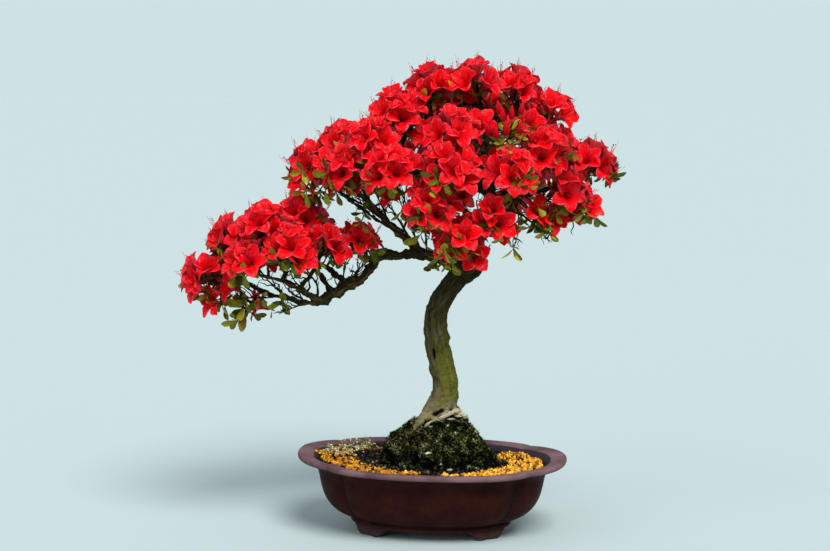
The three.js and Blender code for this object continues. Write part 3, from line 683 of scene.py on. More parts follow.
def roundedProfile(profile, steps):
    # Each corner becomes a short curve between points on its two sides
    points = [np.array(profile[0][:2], float)]
    for (x0, y0, _), (x1, y1, soft), (x2, y2, _) in zip(profile, profile[1:], profile[2:]):
        before, corner, after = (np.array(p, float) for p in ((x0, y0), (x1, y1), (x2, y2)))
        start = corner + (before - corner) * soft
        end = corner + (after - corner) * soft
        for k in range(steps + 1):
            t = k / steps
            point = start * (1 - t) ** 2 + corner * 2 * t * (1 - t) + end * t ** 2
            if norm(point - points[-1]) > pot["shortest"]:
                points.append(point)
    points.append(np.array(profile[-1][:2], float))
    return points


def hemAt(share):
    # Height of the foot's lower edge
    quarter, arc = math.pi / 2, feet["arc"]
    first, second, third = feet["scallops"]
    if share < arc:
        return first * (1 - math.sin(quarter * share / arc))
    if share < feet["flatEnd"]:
        return 0.0
    if share < feet["swellEnd"]:
        return second * (1 - math.cos(quarter * (share - feet["flatEnd"]) / arc))
    return second + third * math.sin(quarter * (share - feet["swellEnd"]) / arc) ** feet["swell"]


def footRings(side, end):
    rings = []
    for step in range(feet["steps"] + 1):
        along = step / feet["steps"]
        angle = math.radians(feet["from"] + (feet["to"] - feet["from"]) * along)
        hem = hemAt(1 - along)
        ring = []
        for edge, shift, share in footCut:
            x, y = lobedPoints(feet[edge] + shift, angle)
            ring.append((x * end, -y * side, hem + share * (feet["top"] - hem)))
        rings.append(ring if side * end < 0 else ring[::-1])
    return rings


def drainCutter(x):
    sides, radius = drain["sides"], drain["radius"]
    turns = np.arange(sides) * fullTurn / sides
    ends = [np.c_[x + radius * np.cos(turns), radius * np.sin(turns), np.full(sides, height)]
            for height in (drain["below"], 2.0 * drain["floor"])]
    return meshPiece("drainHole", np.concatenate(ends), cappedFaces(2, sides))


def potPiece(material):
    angles = lobeAngles(pot["stepsPerLobe"])
    steps = len(angles)
    wall = np.array(roundedProfile(wallProfile, pot["cornerSteps"]))
    rings = [np.c_[lobedPoints(size, angles), np.full(steps, height)] for size, height in wall]
    isInside = (np.arange(len(wall)) > np.argmax(wall[:, 0])) & (wall[:, 0] < pot["mouthSize"])
    points = np.concatenate(rings)
    waver = noiseAt(points, pot["waverSize"], 3.0) * pot["waver"]
    out = points[:, :2] / norm(points[:, :2], axis=1)[:, None]
    points[:, 2] += endRise(points[:, 0], points[:, 2])
    points[:, :2] += out * (waver * smooth(points[:, 2], *pot["waverHeights"]))[:, None]
    # Mask for the painted shade along the creases
    crease = np.tile(np.exp(-(fromCrease(angles) / pot["creaseShadeWidth"]) ** 2), len(rings))
    # Mask for the painted shade over the inside wall
    inside = np.repeat(isInside.astype(float), steps)
    bowl = meshPiece("clayPot", points, cappedFaces(len(rings), steps), material,
                     {"crease": crease, "inside": inside})
    cutters = [drainCutter(x) for x in (-drain["offset"], drain["offset"])]
    for cutter in cutters:
        cut = bowl.modifiers.new("drainHole", "BOOLEAN")
        cut.operation = "DIFFERENCE"
        cut.solver = "EXACT"
        cut.object = cutter
    bowl = settled(bowl)
    for cutter in cutters:
        bpy.data.objects.remove(cutter)
    for side in (1, -1):
        for end in (1, -1):
            rings = footRings(side, end)
            walls = cappedFaces(len(rings), len(rings[0]))
            foot = meshPiece("foot", [p for ring in rings for p in ring], walls, material)
            with bpy.context.temp_override(active_object=bowl, selected_editable_objects=[bowl, foot]):
                bpy.ops.object.join()
    bowl.data.set_sharp_from_angle(angle=pot["sharpEdge"])
    return bowl


# Soil: fills the pot up to a plane that falls slightly to the right, with a crumbly top
soil = {
    "level": 86.5, "fall": 0.025, "wallGap": 0.5, "rings": 46, "stepsPerLobe": 36, "crumb": 1.5,
    "wall": [(88, 20.3), (116, 30.3), (130, 46.3), (137, 74.3), (145.5, 84.5)],
    "lumps": ((3.4, 1.0, 1.0), (7.5, 2.0, 0.8), (20.0, 4.0, 0.5)),  # size, seed and share of each noise
}


def soilTop(x):
    return soil["level"] - soil["fall"] * x


def soilPiece(material):
    angles = lobeAngles(soil["stepsPerLobe"])
    steps = len(angles)
    rings = [np.c_[lobedPoints(size - soil["wallGap"], angles), np.full(steps, height)]
             for size, height in soil["wall"]]
    edge = lobedPoints(soil["wall"][-1][0] - soil["wallGap"], angles)
    for ring in range(soil["rings"]):
        flat = edge * (1 - ring / soil["rings"])
        lump = np.c_[flat, np.zeros(steps)]
        rise = sum(share * noiseAt(lump, size, seed) for size, seed, share in soil["lumps"])
        rings.append(np.c_[flat, soilTop(flat[:, 0]) + (rise if ring else 0) * soil["crumb"]])
    points = np.concatenate([*rings, [[0, 0, soil["level"]]]])
    return meshPiece("soilBed", points, domedFaces(len(rings), steps), material)


# Moss mound: the raised root ball, steep at its foot and lumpy on top
mound = {
    "halfLength": 68, "halfWidth": 58, "right": 3, "back": -4, "steps": 170, "rings": 84,
    "waves": ((3, 3, 0.6), (2, 5, 2)),  # height, count and start of the waves in its outline
    "profile": [(1, 78), (1, 90), (0.97, 104), (0.89, 114), (0.8, 121), (0.6, 130), (0.3, 141), (0.06, 145)],
    "lumps": ((19.0, 5.2), (8.5, 4.6), (4.0, 2.8), (2.0, 1.3)), "calmHeights": (78, 92), "heart": 96,
    "lean": (4, 60), "tint": 0.3, "lumpShadingRise": 9,
    "cleft": {"right": 16, "wide": 4.5, "deep": 6.5, "wander": 5, "bend": 16.0, "front": -20},
    "shoulder": {"at": (33, -20, 140), "wide": 18, "tall": 20, "heights": (105, 135)},
    "skirts": ((-10, 34, 15), (205, 34, 9)), "skirtHeights": (84, 108),
}


def moundSize(angle):
    wave = sum(high * np.sin(count * angle + start) for high, count, start in mound["waves"])
    return np.stack([(mound["halfLength"] + wave) * np.cos(angle),
                     (mound["halfWidth"] + wave) * np.sin(angle)], -1)


def moundPiece(material):
    steps, count = mound["steps"], mound["rings"]
    middle = np.array([mound["right"], mound["back"]])
    base = moundSize(np.arange(steps) * fullTurn / steps)
    shares, heights = zip(*mound["profile"])
    lengths = np.hypot(np.diff(shares) * mound["halfLength"], np.diff(heights))
    travel = np.concatenate([[0], np.cumsum(lengths)])
    where = np.linspace(0, travel[-1], count)
    rings = []
    for share, height in zip(np.interp(where, travel, shares), np.interp(where, travel, heights)):
        rings.append(np.c_[base * share + middle, np.full(steps, height)])
    points = np.concatenate([*rings, [[*middle, heights[-1]]]])
    out = np.c_[points[:, :2] - middle, np.clip(points[:, 2] - mound["heart"], *mound["lean"])]
    out /= norm(out, axis=1)[:, None]
    rise = sum(noiseAt(points, size, size) * height for size, height in mound["lumps"])
    calm = smooth(points[:, 2], *mound["calmHeights"])
    points += out * (rise * calm)[:, None]
    turns = np.degrees(np.arctan2(out[:, 1], out[:, 0]))
    for towards, spread, reach in mound["skirts"]:
        away = (turns - towards + 180) % 360 - 180
        run = reach * np.exp(-(away / spread) ** 2) * (1 - smooth(points[:, 2], *mound["skirtHeights"]))
        points[:, :2] += out[:, :2] * run[:, None]
    cleft = mound["cleft"]
    aside = points[:, 0] - cleft["right"] - cleft["wander"] * noiseAt(points, cleft["bend"], 12.0)
    dent = -cleft["deep"] * np.exp(-(aside / cleft["wide"]) ** 2) * (points[:, 1] < cleft["front"]) * calm
    points += out * dent[:, None]
    shoulder = mound["shoulder"]
    gap = (points - inPot(shoulder["at"]))[:, :2] / shoulder["wide"]
    swell = shoulder["tall"] * np.exp(-(gap ** 2).sum(axis=1))
    points[:, 2] += swell * smooth(points[:, 2], *shoulder["heights"])
    # Tint from the lumps: painted light on the raised ones, painted shade in the dips between them
    tint = np.clip(mound["tint"] + rise / mound["lumpShadingRise"], 0, 1)
    return meshPiece("mossMound", points, domedFaces(count, steps), material, {"tint": tint})


# Tufts of moss blades; pairs of numbers are the least and how much a draw adds
tuft = {
    "blades": 3, "length": 3.2, "width": 1.1, "density": 0.37, "seed": 7, "above": 96, "ridge": 0.5,
    "lean": (0.25, 0.75), "root": 0.4, "reach": (0.6, 0.5), "smallest": 0.5, "biggest": 1.25,
}


def tuftShape():
    # Slim three-sided blades that lean out from one root
    points, faces = [], []
    draw = seededDraw(41)
    half = tuft["width"] / 2
    for blade in range(tuft["blades"]):
        turn = blade * goldenAngle
        lean = pick(draw, *tuft["lean"])
        out = np.array([math.cos(turn), math.sin(turn), 0])
        side = np.array([-math.sin(turn), math.cos(turn), 0])
        root = out * tuft["root"] * draw()
        upright = np.array([0, 0, math.cos(lean)])
        tip = root + (out * math.sin(lean) + upright) * tuft["length"] * pick(draw, *tuft["reach"])
        first = len(points)
        points += [root - side * half, root + side * half, root + out * half + (0, 0, tuft["ridge"]), tip]
        faces += [(first, first + 1, first + 3), (first + 1, first + 2, first + 3),
                  (first + 2, first, first + 3), (first + 1, first, first + 2)]
    return [(points, faces, {})]


def tuftPiece(moundMesh, material):
    collection = variantCollection("tuftShape", tuftShape())
    tree, start, names = startTree("mossTuftTree", {
        "Density": "NodeSocketFloat", "Seed": "NodeSocketInt", "Smallest": "NodeSocketFloat"})
    where = addNode(tree, "GeometryNodeInputPosition")
    height = addNode(tree, "ShaderNodeSeparateXYZ", {0: where.outputs[0]})
    isHigh = addNode(tree, "FunctionNodeCompare", {0: height.outputs[2], 1: tuft["above"] * mm},
                     operation="GREATER_THAN")
    spread = addNode(tree, "GeometryNodeDistributePointsOnFaces", {
        "Mesh": start.outputs["Geometry"], "Selection": isHigh.outputs[0],
        "Density": start.outputs["Density"], "Seed": start.outputs["Seed"]})
    grow = addNode(tree, "FunctionNodeRandomValue", {
        2: start.outputs["Smallest"], 3: tuft["biggest"], "Seed": 3}, data_type="FLOAT")
    tint = addNode(tree, "FunctionNodeRandomValue", {"Seed": 5}, data_type="FLOAT")
    stored = addNode(tree, "GeometryNodeStoreNamedAttribute", {
        "Geometry": spread.outputs["Points"], "Name": "tint", "Value": tint.outputs[1]}, data_type="FLOAT")
    shapes = addNode(tree, "GeometryNodeCollectionInfo", {"Collection": collection, "Reset Children": True})
    copies = addNode(tree, "GeometryNodeInstanceOnPoints", {
        "Points": stored.outputs[0], "Instance": shapes.outputs[0],
        "Rotation": spread.outputs["Rotation"], "Scale": grow.outputs[1]})
    endTree(tree, copies.outputs[0], material)
    piece = useTree(newObject("mossTufts", moundMesh.copy()), tree, names, {
        "Density": tuft["density"] / mm ** 2, "Seed": tuft["seed"], "Smallest": tuft["smallest"]})
    dropCollection(collection)
    return piece


# Grains: rough little stones in a few shapes, for the orange pellets and the dark crumbs
stone = {
    "bumps": ((9.0, 0, 2), (4.0, 9, 1)),  # size, seed and share of each noise on a stone of radius 10
    "stretch": ((0.8, 0.5), (0.8, 0.4), (0.7, 0.3)), "roughness": 0.32,
}


def grainShape(seed, roughness):
    points, faces = [], []
    index = {}
    for axis in range(3):
        for sign in (-1, 1):
            for i in range(2):
                for j in range(2):
                    corners = []
                    for a, b in ((i, j), (i + 1, j), (i + 1, j + 1), (i, j + 1)):
                        corner = [0, 0, 0]
                        corner[axis], corner[(axis + 1) % 3], corner[(axis + 2) % 3] = sign, a - 1, b - 1
                        key = tuple(corner)
                        if key not in index:
                            index[key] = len(points)
                            points.append(unit(np.array(key, float)))
                        corners.append(index[key])
                    faces.append(tuple(corners if sign > 0 else corners[::-1]))
    points = np.array(points)
    bumps = sum((roughness * noiseAt(points * 10, size, seed + more) * share
                 for size, more, share in stone["bumps"]), 1)
    draw = seededDraw(int(seed) + 60)
    stretch = np.array([pick(draw, *sizes) for sizes in stone["stretch"]])
    return points * bumps[:, None] * stretch, faces, {}


def randomTurn(draw):
    turn = Matrix.Identity(3)
    for axis in "XYZ":
        turn = turn @ Matrix.Rotation(draw() * 6.283, 3, axis)
    return np.array(turn)


# Beds of pellets: from and to are degrees round the pot, near is the share of the way from the mound to the
# wall where a bed begins, thinOver the degrees over which it thins out, and loose grains are right, back,
# spread and count
pellets = {
    "left": {"from": 122, "to": 262, "count": 470, "heap": 2.6, "near": 0.42, "seed": 11, "thin": 0.15,
             "thinOver": (200, 155), "tone": 0.56,
             "loose": [(-20, -82, 6, 26), (27, -82, 6, 24), (-150, 12, 8, 20)]},
    "right": {"from": -72, "to": 52, "count": 980, "heap": 7.0, "near": 0.34, "seed": 12, "thin": 0.4,
              "thinOver": (-20, 25), "tone": 1, "loose": []},
}
bedForm = {
    "wallSize": 139.5, "moundGap": 1.02, "outward": 1.25, "edge": 0.3, "fade": (0.35, 0.65), "patch": 15,
    "keep": (0.45, 1.5, 0.45), "lift": 1.2, "crest": 0.72, "slope": 1.1, "small": 1.3, "big": 2.5,
    "fewBig": 1.5, "looseHeights": (1, 3),
}
# Pairs of numbers are the least and how much a draw adds
crumbs = {"count": 1150, "seed": 21, "near": 1.6, "heights": (0.8, 1.6), "size": (1.0, 1.7), "dark": 2.2}
strays = {"count": 1300, "seed": 31, "reach": 0.7, "near": 1.8, "heights": (0.5, 2), "size": (0.6, 0.7),
          "pale": 0.7}
dried = {
    "tries": 800, "seed": 33, "degrees": (126, 54), "shares": (0.55, 0.42), "outward": 0.7, "patch": 11,
    "bareBelow": -0.05, "pile": (3, 9), "pileShares": (0.75, 0.95), "lift": 1, "size": (0.6, 0.9),
}


def bedPoint(angle, share):
    # Between the foot of the mound and the pot's wall
    outer = lobedPoints(bedForm["wallSize"], angle)
    inner = moundSize(math.atan2(outer[1], outer[0])) * bedForm["moundGap"] + (mound["right"], mound["back"])
    return inner + (outer - inner) * share


def onSoil(x, y, draw, least, spread):
    return x, y, soilTop(x) + least + spread * draw()


def pelletPlaces(bed):
    draw = seededDraw(bed["seed"])
    places = []
    form = bedForm
    begin, end = math.radians(bed["from"]), math.radians(bed["to"])
    keepAll, keepPatch, keepOut = form["keep"]
    while len(places) < bed["count"]:
        angle = math.radians(bed["from"] + (bed["to"] - bed["from"]) * draw())
        share = 1 - (1 - bed["near"]) * draw() ** form["outward"]
        fromEnd = min(angle - begin, end - angle)
        fade = min(1, fromEnd / form["edge"]) * (form["fade"][0] + form["fade"][1] * share)
        x, y = bedPoint(angle, share)
        patch = noise.noise(Vector((x / form["patch"], y / form["patch"], bed["seed"])))
        keep = keepAll + keepPatch * patch + keepOut * share
        behind = smooth(math.degrees(angle), *bed["thinOver"])
        if draw() > keep * (1 - (1 - bed["thin"]) * behind):
            continue
        heap = bed["heap"] * fade * draw() * math.sin(math.pi * min(share, form["crest"]) / form["slope"])
        grow = form["small"] + (form["big"] - form["small"]) * draw() ** form["fewBig"]
        places.append({"at": (x, y, soilTop(x) + form["lift"] + heap), "turn": randomTurn(draw), "grow": grow,
                       "kind": len(places), "tint": draw() * bed["tone"]})
    for right, back, spread, count in bed["loose"]:
        for _ in range(count):
            x, y = right + (draw() + draw() - 1) * 2 * spread, back + sway(draw, spread)
            places.append({"at": onSoil(x, y, draw, *form["looseHeights"]), "turn": randomTurn(draw),
                           "grow": form["small"] + draw(), "kind": len(places), "tint": draw()})
    return places


def crumbPlaces():
    draw = seededDraw(crumbs["seed"])
    places = []
    for number in range(crumbs["count"]):
        x, y = bedPoint(draw() * fullTurn, draw() ** crumbs["near"])
        places.append({"at": onSoil(x, y, draw, *crumbs["heights"]), "turn": randomTurn(draw),
                       "grow": crumbs["size"][0] + crumbs["size"][1] * draw() ** 2, "kind": number,
                       "tint": draw() ** crumbs["dark"]})
    return places


def strayTufts():
    # Small green bits round the foot of the mound
    draw = seededDraw(strays["seed"])
    places = []
    for _ in range(strays["count"]):
        x, y = bedPoint(draw() * fullTurn, strays["reach"] * draw() ** strays["near"])
        places.append({"at": onSoil(x, y, draw, *strays["heights"]), "turn": randomTurn(draw),
                       "grow": pick(draw, *strays["size"]), "kind": 0, "tint": draw() ** strays["pale"]})
    return places


def dryTufts():
    # Pale dried moss against the far left of the rim
    draw = seededDraw(dried["seed"])
    places = []
    for _ in range(dried["tries"]):
        angle = math.radians(pick(draw, *dried["degrees"]))
        share = dried["shares"][0] + dried["shares"][1] * draw() ** dried["outward"]
        x, y = bedPoint(angle, share)
        if noise.noise(Vector((x / dried["patch"], y / dried["patch"], 4))) < dried["bareBelow"]:
            continue
        pile = dried["pile"][0] + dried["pile"][1] * smooth(share, *dried["pileShares"])
        places.append({"at": onSoil(x, y, draw, dried["lift"], pile), "turn": randomTurn(draw),
                       "grow": pick(draw, *dried["size"]), "kind": len(places), "tint": draw()})
    return places


# Tree: its trunk, roots and branches as [right, back, up] seen from the tree's front
trunk = {
    "route": [
        [2, 0, 62], [4, 0, 98], [6, 0, 128], [8, 0, 150], [13, 0, 168], [15, 2, 182], [13, 4, 198],
        [9, 5, 216], [5, 5, 235], [2, 4, 254], [2, 2, 273], [7, 0, 292], [18, -3, 310], [30, -5, 327],
        [42, -5, 346], [53, -2, 372], [61, 2, 400], [66, 4, 432], [66, 2, 464], [60, -2, 500],
        [54, -6, 538],
    ],
    "radii": [13, 22, 25, 22, 18, 16.5, 15.9, 15.6, 15.8, 15.4, 14.4, 13.5, 13.4, 13.8, 13, 9.5, 8, 6.6, 5.2,
              3.8, 2.2],
}
roots = [
    ([[13, -2, 174], [0, -7, 152], [-13, -12, 137], [-27, -16, 119]], [11, 12, 9, 5]),
    ([[14, 2, 164], [30, 0, 148], [44, -6, 130], [52, -8, 116]], [11, 10, 7, 4]),
    ([[9, 2, 160], [4, 22, 147], [-4, 38, 130], [-8, 46, 116]], [11, 10, 7, 4]),
    ([[35, -14, 155], [28, -25, 158], [20, -27, 154], [11, -31, 151], [2, -30, 147], [-6, -33, 143],
      [-12, -32, 137]],
     [3.4, 3.8, 2.8, 3.0, 2.4, 2.6, 1.8]),
]
branches = [
    ([[32, -3, 334], [14, -3, 346], [-7, -4, 351], [-49, -8, 351], [-69, -10, 349], [-92, -12, 322],
      [-112, -12, 311], [-132, -14, 300], [-146, -14, 291], [-164, -14, 290], [-180, -14, 294],
      [-200, -12, 297], [-221, -12, 306], [-244, -12, 318]],
     [12, 9.5, 7.6, 6.4, 6.3, 6.6, 7, 5.4, 4.4, 4.2, 4, 3.6, 3, 2.2]),
    ([[-128, -14, 302], [-143, -8, 322], [-152, -4, 336], [-156, 2, 352]], [4.4, 3.8, 3.2, 2.4]),
    ([[34, -5, 326], [46, -6, 334], [55, -7, 342], [60, -7, 350]], [12, 12, 9, 6]),
    ([[-219, -12, 305], [-229, -14, 285], [-238, -18, 268]], [2.4, 2, 1.5]),
    ([[-110, -12, 312], [-125, 18, 322], [-152, 42, 336], [-200, 50, 346]], [4.6, 4, 3.2, 2.2]),
    ([[-143, -14, 293], [-160, -42, 306], [-186, -62, 322], [-216, -70, 330]], [4, 3.6, 3, 2.2]),
    ([[-14, -4, 351], [-39, -4, 373], [-60, -8, 391], [-74, -10, 404], [-95, -16, 427], [-124, -14, 448]],
     [6.4, 5.2, 4.4, 3.6, 3, 2.2]),
    ([[-58, -7, 389], [-82, 26, 414], [-106, 48, 446]], [3.6, 3, 2.2]),
    ([[48, -2, 366], [38, -36, 384], [22, -68, 394], [4, -84, 404]], [6, 4.8, 3.6, 2.6]),
    ([[66, 2, 428], [42, -38, 446], [2, -72, 456], [-34, -82, 460]], [6, 4.8, 3.6, 2.4]),
    ([[62, 2, 412], [90, -4, 424], [124, -10, 434], [160, -14, 446], [186, -12, 460]], [6, 5, 4, 3.2, 2.2]),
    ([[64, 2, 424], [82, -34, 428], [100, -68, 438]], [5, 3.8, 2.6]),
    ([[52, 0, 372], [46, 44, 392], [26, 84, 414]], [5.4, 4.2, 2.8]),
    ([[66, 3, 440], [46, 48, 456], [20, 88, 470]], [5, 3.8, 2.6]),
    ([[66, 3, 446], [94, 38, 458], [124, 58, 470]], [4.6, 3.6, 2.4]),
    ([[64, 0, 478], [24, -12, 500], [-16, -18, 512], [-46, -20, 514]], [4.4, 3.6, 2.8, 2]),
    ([[62, 0, 488], [94, -4, 510], [130, -8, 522]], [4, 3, 2]),
    ([[66, 2, 450], [14, 0, 462], [-54, 0, 462], [-112, -4, 468], [-152, -2, 464]], [5.2, 4.6, 3.8, 3, 2.2]),
]
# Bunches of blooms and leafy shoots: right, back, up and radius of each
bunches = [
    [-9, -15, 562, 34], [45, -26, 569, 33], [94, 0, 561, 34], [142, -10, 536, 28], [-54, -38, 530, 36],
    [15, -88, 508, 36], [-118, -10, 488, 36], [-83, -70, 494, 34], [-162, 0, 464, 30], [-113, -68, 464, 32],
    [-58, -98, 462, 36], [13, -118, 468, 36], [128, -68, 488, 34], [194, -12, 470, 32], [88, -104, 462, 32],
    [-9, -106, 420, 34], [30, -92, 384, 30], [72, -86, 410, 32], [160, -52, 440, 28], [-250, -18, 370, 33],
    [-286, -22, 324, 30], [-210, -56, 388, 32], [-166, -8, 398, 32], [-226, -70, 346, 32],
    [-177, -74, 360, 33], [-136, -54, 364, 30], [-96, -28, 368, 26], [20, 38, 552, 36], [70, 62, 528, 36],
    [122, 46, 518, 34], [-44, 34, 520, 36], [8, 96, 492, 36], [62, 112, 474, 34], [-92, 54, 478, 36],
    [-36, 92, 464, 36], [118, 92, 456, 34], [164, 44, 462, 32], [20, 104, 424, 32], [88, 82, 418, 30],
    [-222, 44, 362, 34], [-168, 56, 370, 33], [-258, 24, 326, 28],
]
shoots = [
    [-150, -28, 426, 24], [-92, -34, 404, 20], [-240, -26, 284, 28], [-192, -30, 288, 20],
    [2, -74, 352, 26], [82, -84, 506, 24], [122, -46, 402, 28], [172, -18, 410, 26], [34, 62, 372, 28],
]
crownHearts = {"high": (30, 0, 380), "low": (-190, 0, 300), "split": -70, "lowTop": 408}
# Pairs of numbers are the least and how much a draw adds
bunchForm = {
    "openAngle": 1.75, "first": 0.3, "lift": 0.25, "lean": 0.35, "raise": 0.42, "size": (0.92, 0.16),
    "tintTurn": 7.13, "shootClearance": 0.55, "shootGap": 14, "looseSpacing": 12, "looseSide": (-0.15, 0.3),
    "looseForward": -0.4, "looseUp": (-0.3, 0.5), "looseSpin": 6.28, "pull": 0.98, "pullHeight": 60,
    "uprightFrom": 0.8, "uprightSink": 3,
}
# First each bunch is filled from its middle outwards, then the places that are still open
bloomPasses = [
    {"seed": 0, "candidates": 18, "seat": 0.72, "spacing": 27.3, "lowest": -0.3, "clearance": 0.62},
    {"seed": 500, "candidates": 60, "seat": 0.76, "spacing": 18.5, "lowest": -0.5, "clearance": 0.5},
]
# Gaps that the photograph sees through: a line from front to back and its half width
gaps = [
    ((63, -130, 444), (74, 130, 429), 19), ((92, -130, 416), (107, 130, 398), 15),
    ((46, -130, 458), (55, 130, 445), 11),
]
# Bunches whose blooms stay above their middle, where the branch shows under them
flatBunches = {25: -0.1, 26: -0.05}
# Single blooms between the bunches, where the crown closes
looseBlooms = [
    [-59, -70, 432], [-26, -84, 410], [-3, -96, 400], [10, -96, 372], [45, -88, 360], [52, -94, 420],
    [80, -86, 394], [64, -88, 438], [34, -90, 392], [70, -60, 470], [92, -64, 512], [50, -70, 520],
    [112, -50, 520], [28, -110, 436], [-100, -50, 442], [-128, -40, 446], [-140, -50, 470], [150, -60, 462],
    [-196, -60, 372], [-150, -66, 378], [-279, -34, 293], [-224, -20, 288], [-256, -46, 314],
    [-296, -34, 308], [-306, -24, 332], [190, -46, 418], [146, -48, 403], [125, -56, 415], [169, -30, 413],
    [178, -46, 428], [150, -40, 440], [-104, -20, 374], [-18, -46, 507], [-42, 0, 552], [-4, 4, 528],
    [157, -26, 503], [171, -30, 491], [-177, -30, 442], [-154, -34, 445], [-132, -40, 449],
]
twig = {
    "longest": 45, "thickest": 3.2, "tip": 1.7, "drop": 18, "sag": 0.08, "stopShort": 0.12, "steps": 9,
    "waver": 3.2, "sides": 5,
}
bloomRadius = 20.5


def routePoint(points, along):
    # Centripetal curve through the points, at a share of their count
    spans = len(points) - 1
    span = min(int(along * spans), spans - 1)
    share = along * spans - span
    p1, p2 = points[span], points[span + 1]
    p0 = points[span - 1] if span > 0 else 2 * p1 - p2
    p3 = points[span + 2] if span + 2 <= spans else 2 * p2 - p1
    d0, d1, d2 = (math.sqrt(norm(b - a)) for a, b in ((p0, p1), (p1, p2), (p2, p3)))
    start = ((p1 - p0) / d0 - (p2 - p0) / (d0 + d1) + (p2 - p1) / d1) * d1
    end = ((p2 - p1) / d1 - (p3 - p1) / (d1 + d2) + (p3 - p2) / d2) * d1
    c2 = 3 * (p2 - p1) - 2 * start - end
    c3 = 2 * (p1 - p2) + start + end
    return p1 + start * share + c2 * share ** 2 + c3 * share ** 3


def sampled(points, count):
    return np.array([routePoint(points, k / count) for k in range(count + 1)])


def sampledLimb(route, radii, perSpan):
    points = np.array([inPot(p) for p in route])
    count = (len(points) - 1) * perSpan
    alongs = np.arange(count + 1) / count
    return sampled(points, count), np.interp(alongs * (len(radii) - 1), np.arange(len(radii)), radii)


crownShare = 0.72  # twigs grow from this share of the trunk upwards, and all along the branches


def growingPoints():
    found = []
    for number, (route, radii) in enumerate([(trunk["route"], trunk["radii"]), *branches]):
        points = np.array([inPot(p) for p in route])
        count = len(route) * 4
        for i in range(count + 1):
            along = i / count
            if number > 0 or along > crownShare:
                found.append((routePoint(points, along), radii[int(along * (len(radii) - 1) + 0.5)]))
    return found


woodLine = growingPoints()
woodAt = np.array([at for at, _ in woodLine])


def nearestWood(target, drop):
    low = target - (0, 0, drop)
    return woodLine[int(np.argmin(norm(woodAt - low, axis=1)))]


def twigRoute(bunch):
    centre = inPot(bunch)
    root, thick = nearestWood(centre, twig["drop"])
    length = norm(root - centre)
    middle = (root + centre) / 2 - (0, 0, twig["sag"] * length)
    tip = centre + (root - centre) * twig["stopShort"]
    points = [root, middle, tip] if length > twig["longest"] else [root, tip]
    return points, min(thick, twig["thickest"])


def isLowBunch(bunch):
    # One of the bunches on the low left branch
    return bunch[0] < crownHearts["split"] and bunch[2] < crownHearts["lowTop"]


def heartOf(bunch):
    return inPot(crownHearts["low"] if isLowBunch(bunch) else crownHearts["high"])


bunchAt = np.array([inPot(bunch) for bunch in bunches])
bunchRadius = np.array([bunch[3] for bunch in bunches], float)
shootAt = np.array([inPot(shoot) for shoot in shoots])
shootRadius = np.array([shoot[3] for shoot in shoots], float)


def outwardOf(index):
    outward = unit(bunchAt[index] - heartOf(bunches[index]))
    return unit(outward + (0, 0, bunchForm["lift"]))


def bunchBlooms(step, index, taken):
    # Candidates spiral out from the bunch's middle; each one stays clear of what is there already
    form = bunchForm
    places = []
    draw = seededDraw(index + 1 + step["seed"])
    outward = outwardOf(index)
    side, up = twistOf(outward)
    reach = 1 - math.cos(form["openAngle"])
    phase = draw() * fullTurn
    lowest = max(step["lowest"], flatBunches.get(index, step["lowest"]))
    for k in range(step["candidates"]):
        cosPolar = 1 - reach * ((k + form["first"]) / step["candidates"])
        sinPolar = math.sqrt(1 - cosPolar * cosPolar)
        turn = phase + k * goldenAngle
        direction = outward * cosPolar + side * sinPolar * math.cos(turn) + up * sinPolar * math.sin(turn)
        at = bunchAt[index] + direction * bunchRadius[index] * step["seat"]
        spin = draw() * fullTurn
        size = bloomRadius * pick(draw, *form["size"])
        lean = unit(outward * form["lean"] + direction + (0, 0, form["raise"]))
        isClear = len(taken) == 0 or norm(taken - at, axis=1).min() > step["spacing"]
        others = norm(bunchAt - at, axis=1) > bunchRadius * step["clearance"]
        others[index] = True
        shootReach = shootRadius * form["shootClearance"] + form["shootGap"]
        offShoots = norm(shootAt - at, axis=1) > shootReach
        if isClear and others.all() and offShoots.all() and direction[2] > lowest:
            places.append({"bunch": index, "at": at, "axis": lean, "spin": spin, "size": size,
                           "tint": (spin * form["tintTurn"]) % 1})
            taken = np.vstack([taken, at])
    return places, taken


def bloomPlaces():
    form = bunchForm
    places = []
    taken = np.zeros((0, 3))
    for step in bloomPasses:
        for index in range(len(bunches)):
            more, taken = bunchBlooms(step, index, taken)
            places += more
    for number, loose in enumerate(looseBlooms):
        draw = seededDraw(number + 901)
        at = inPot(loose)
        if norm(taken - at, axis=1).min() < form["looseSpacing"]:
            continue
        index = int(np.argmin(norm(bunchAt - at, axis=1)))
        lean = unit(outwardOf(index) + (
            pick(draw, *form["looseSide"]), form["looseForward"], pick(draw, *form["looseUp"])))
        places.append({"bunch": index, "at": at, "axis": lean, "spin": draw() * form["looseSpin"],
                       "size": bloomRadius * pick(draw, *form["size"]), "tint": draw()})
        taken = np.vstack([taken, at])
    for begin, end, wide in gaps:
        begin, end = inPot(begin), inPot(end)
        ahead = unit(end - begin)
        places = [place for place in places if norm(np.cross(place["at"] - begin, ahead)) > wide]
    middle = inPot(crownHearts["high"]) + (0, 0, form["pullHeight"])
    for place in places:
        if bunches[place["bunch"]][2] > crownHearts["lowTop"]:
            place["at"] = middle + (place["at"] - middle) * form["pull"]
        place["isUpright"] = place["axis"][2] > form["uprightFrom"]
        if place["isUpright"]:
            place["at"] = place["at"] - place["axis"] * form["uprightSink"]
    return places


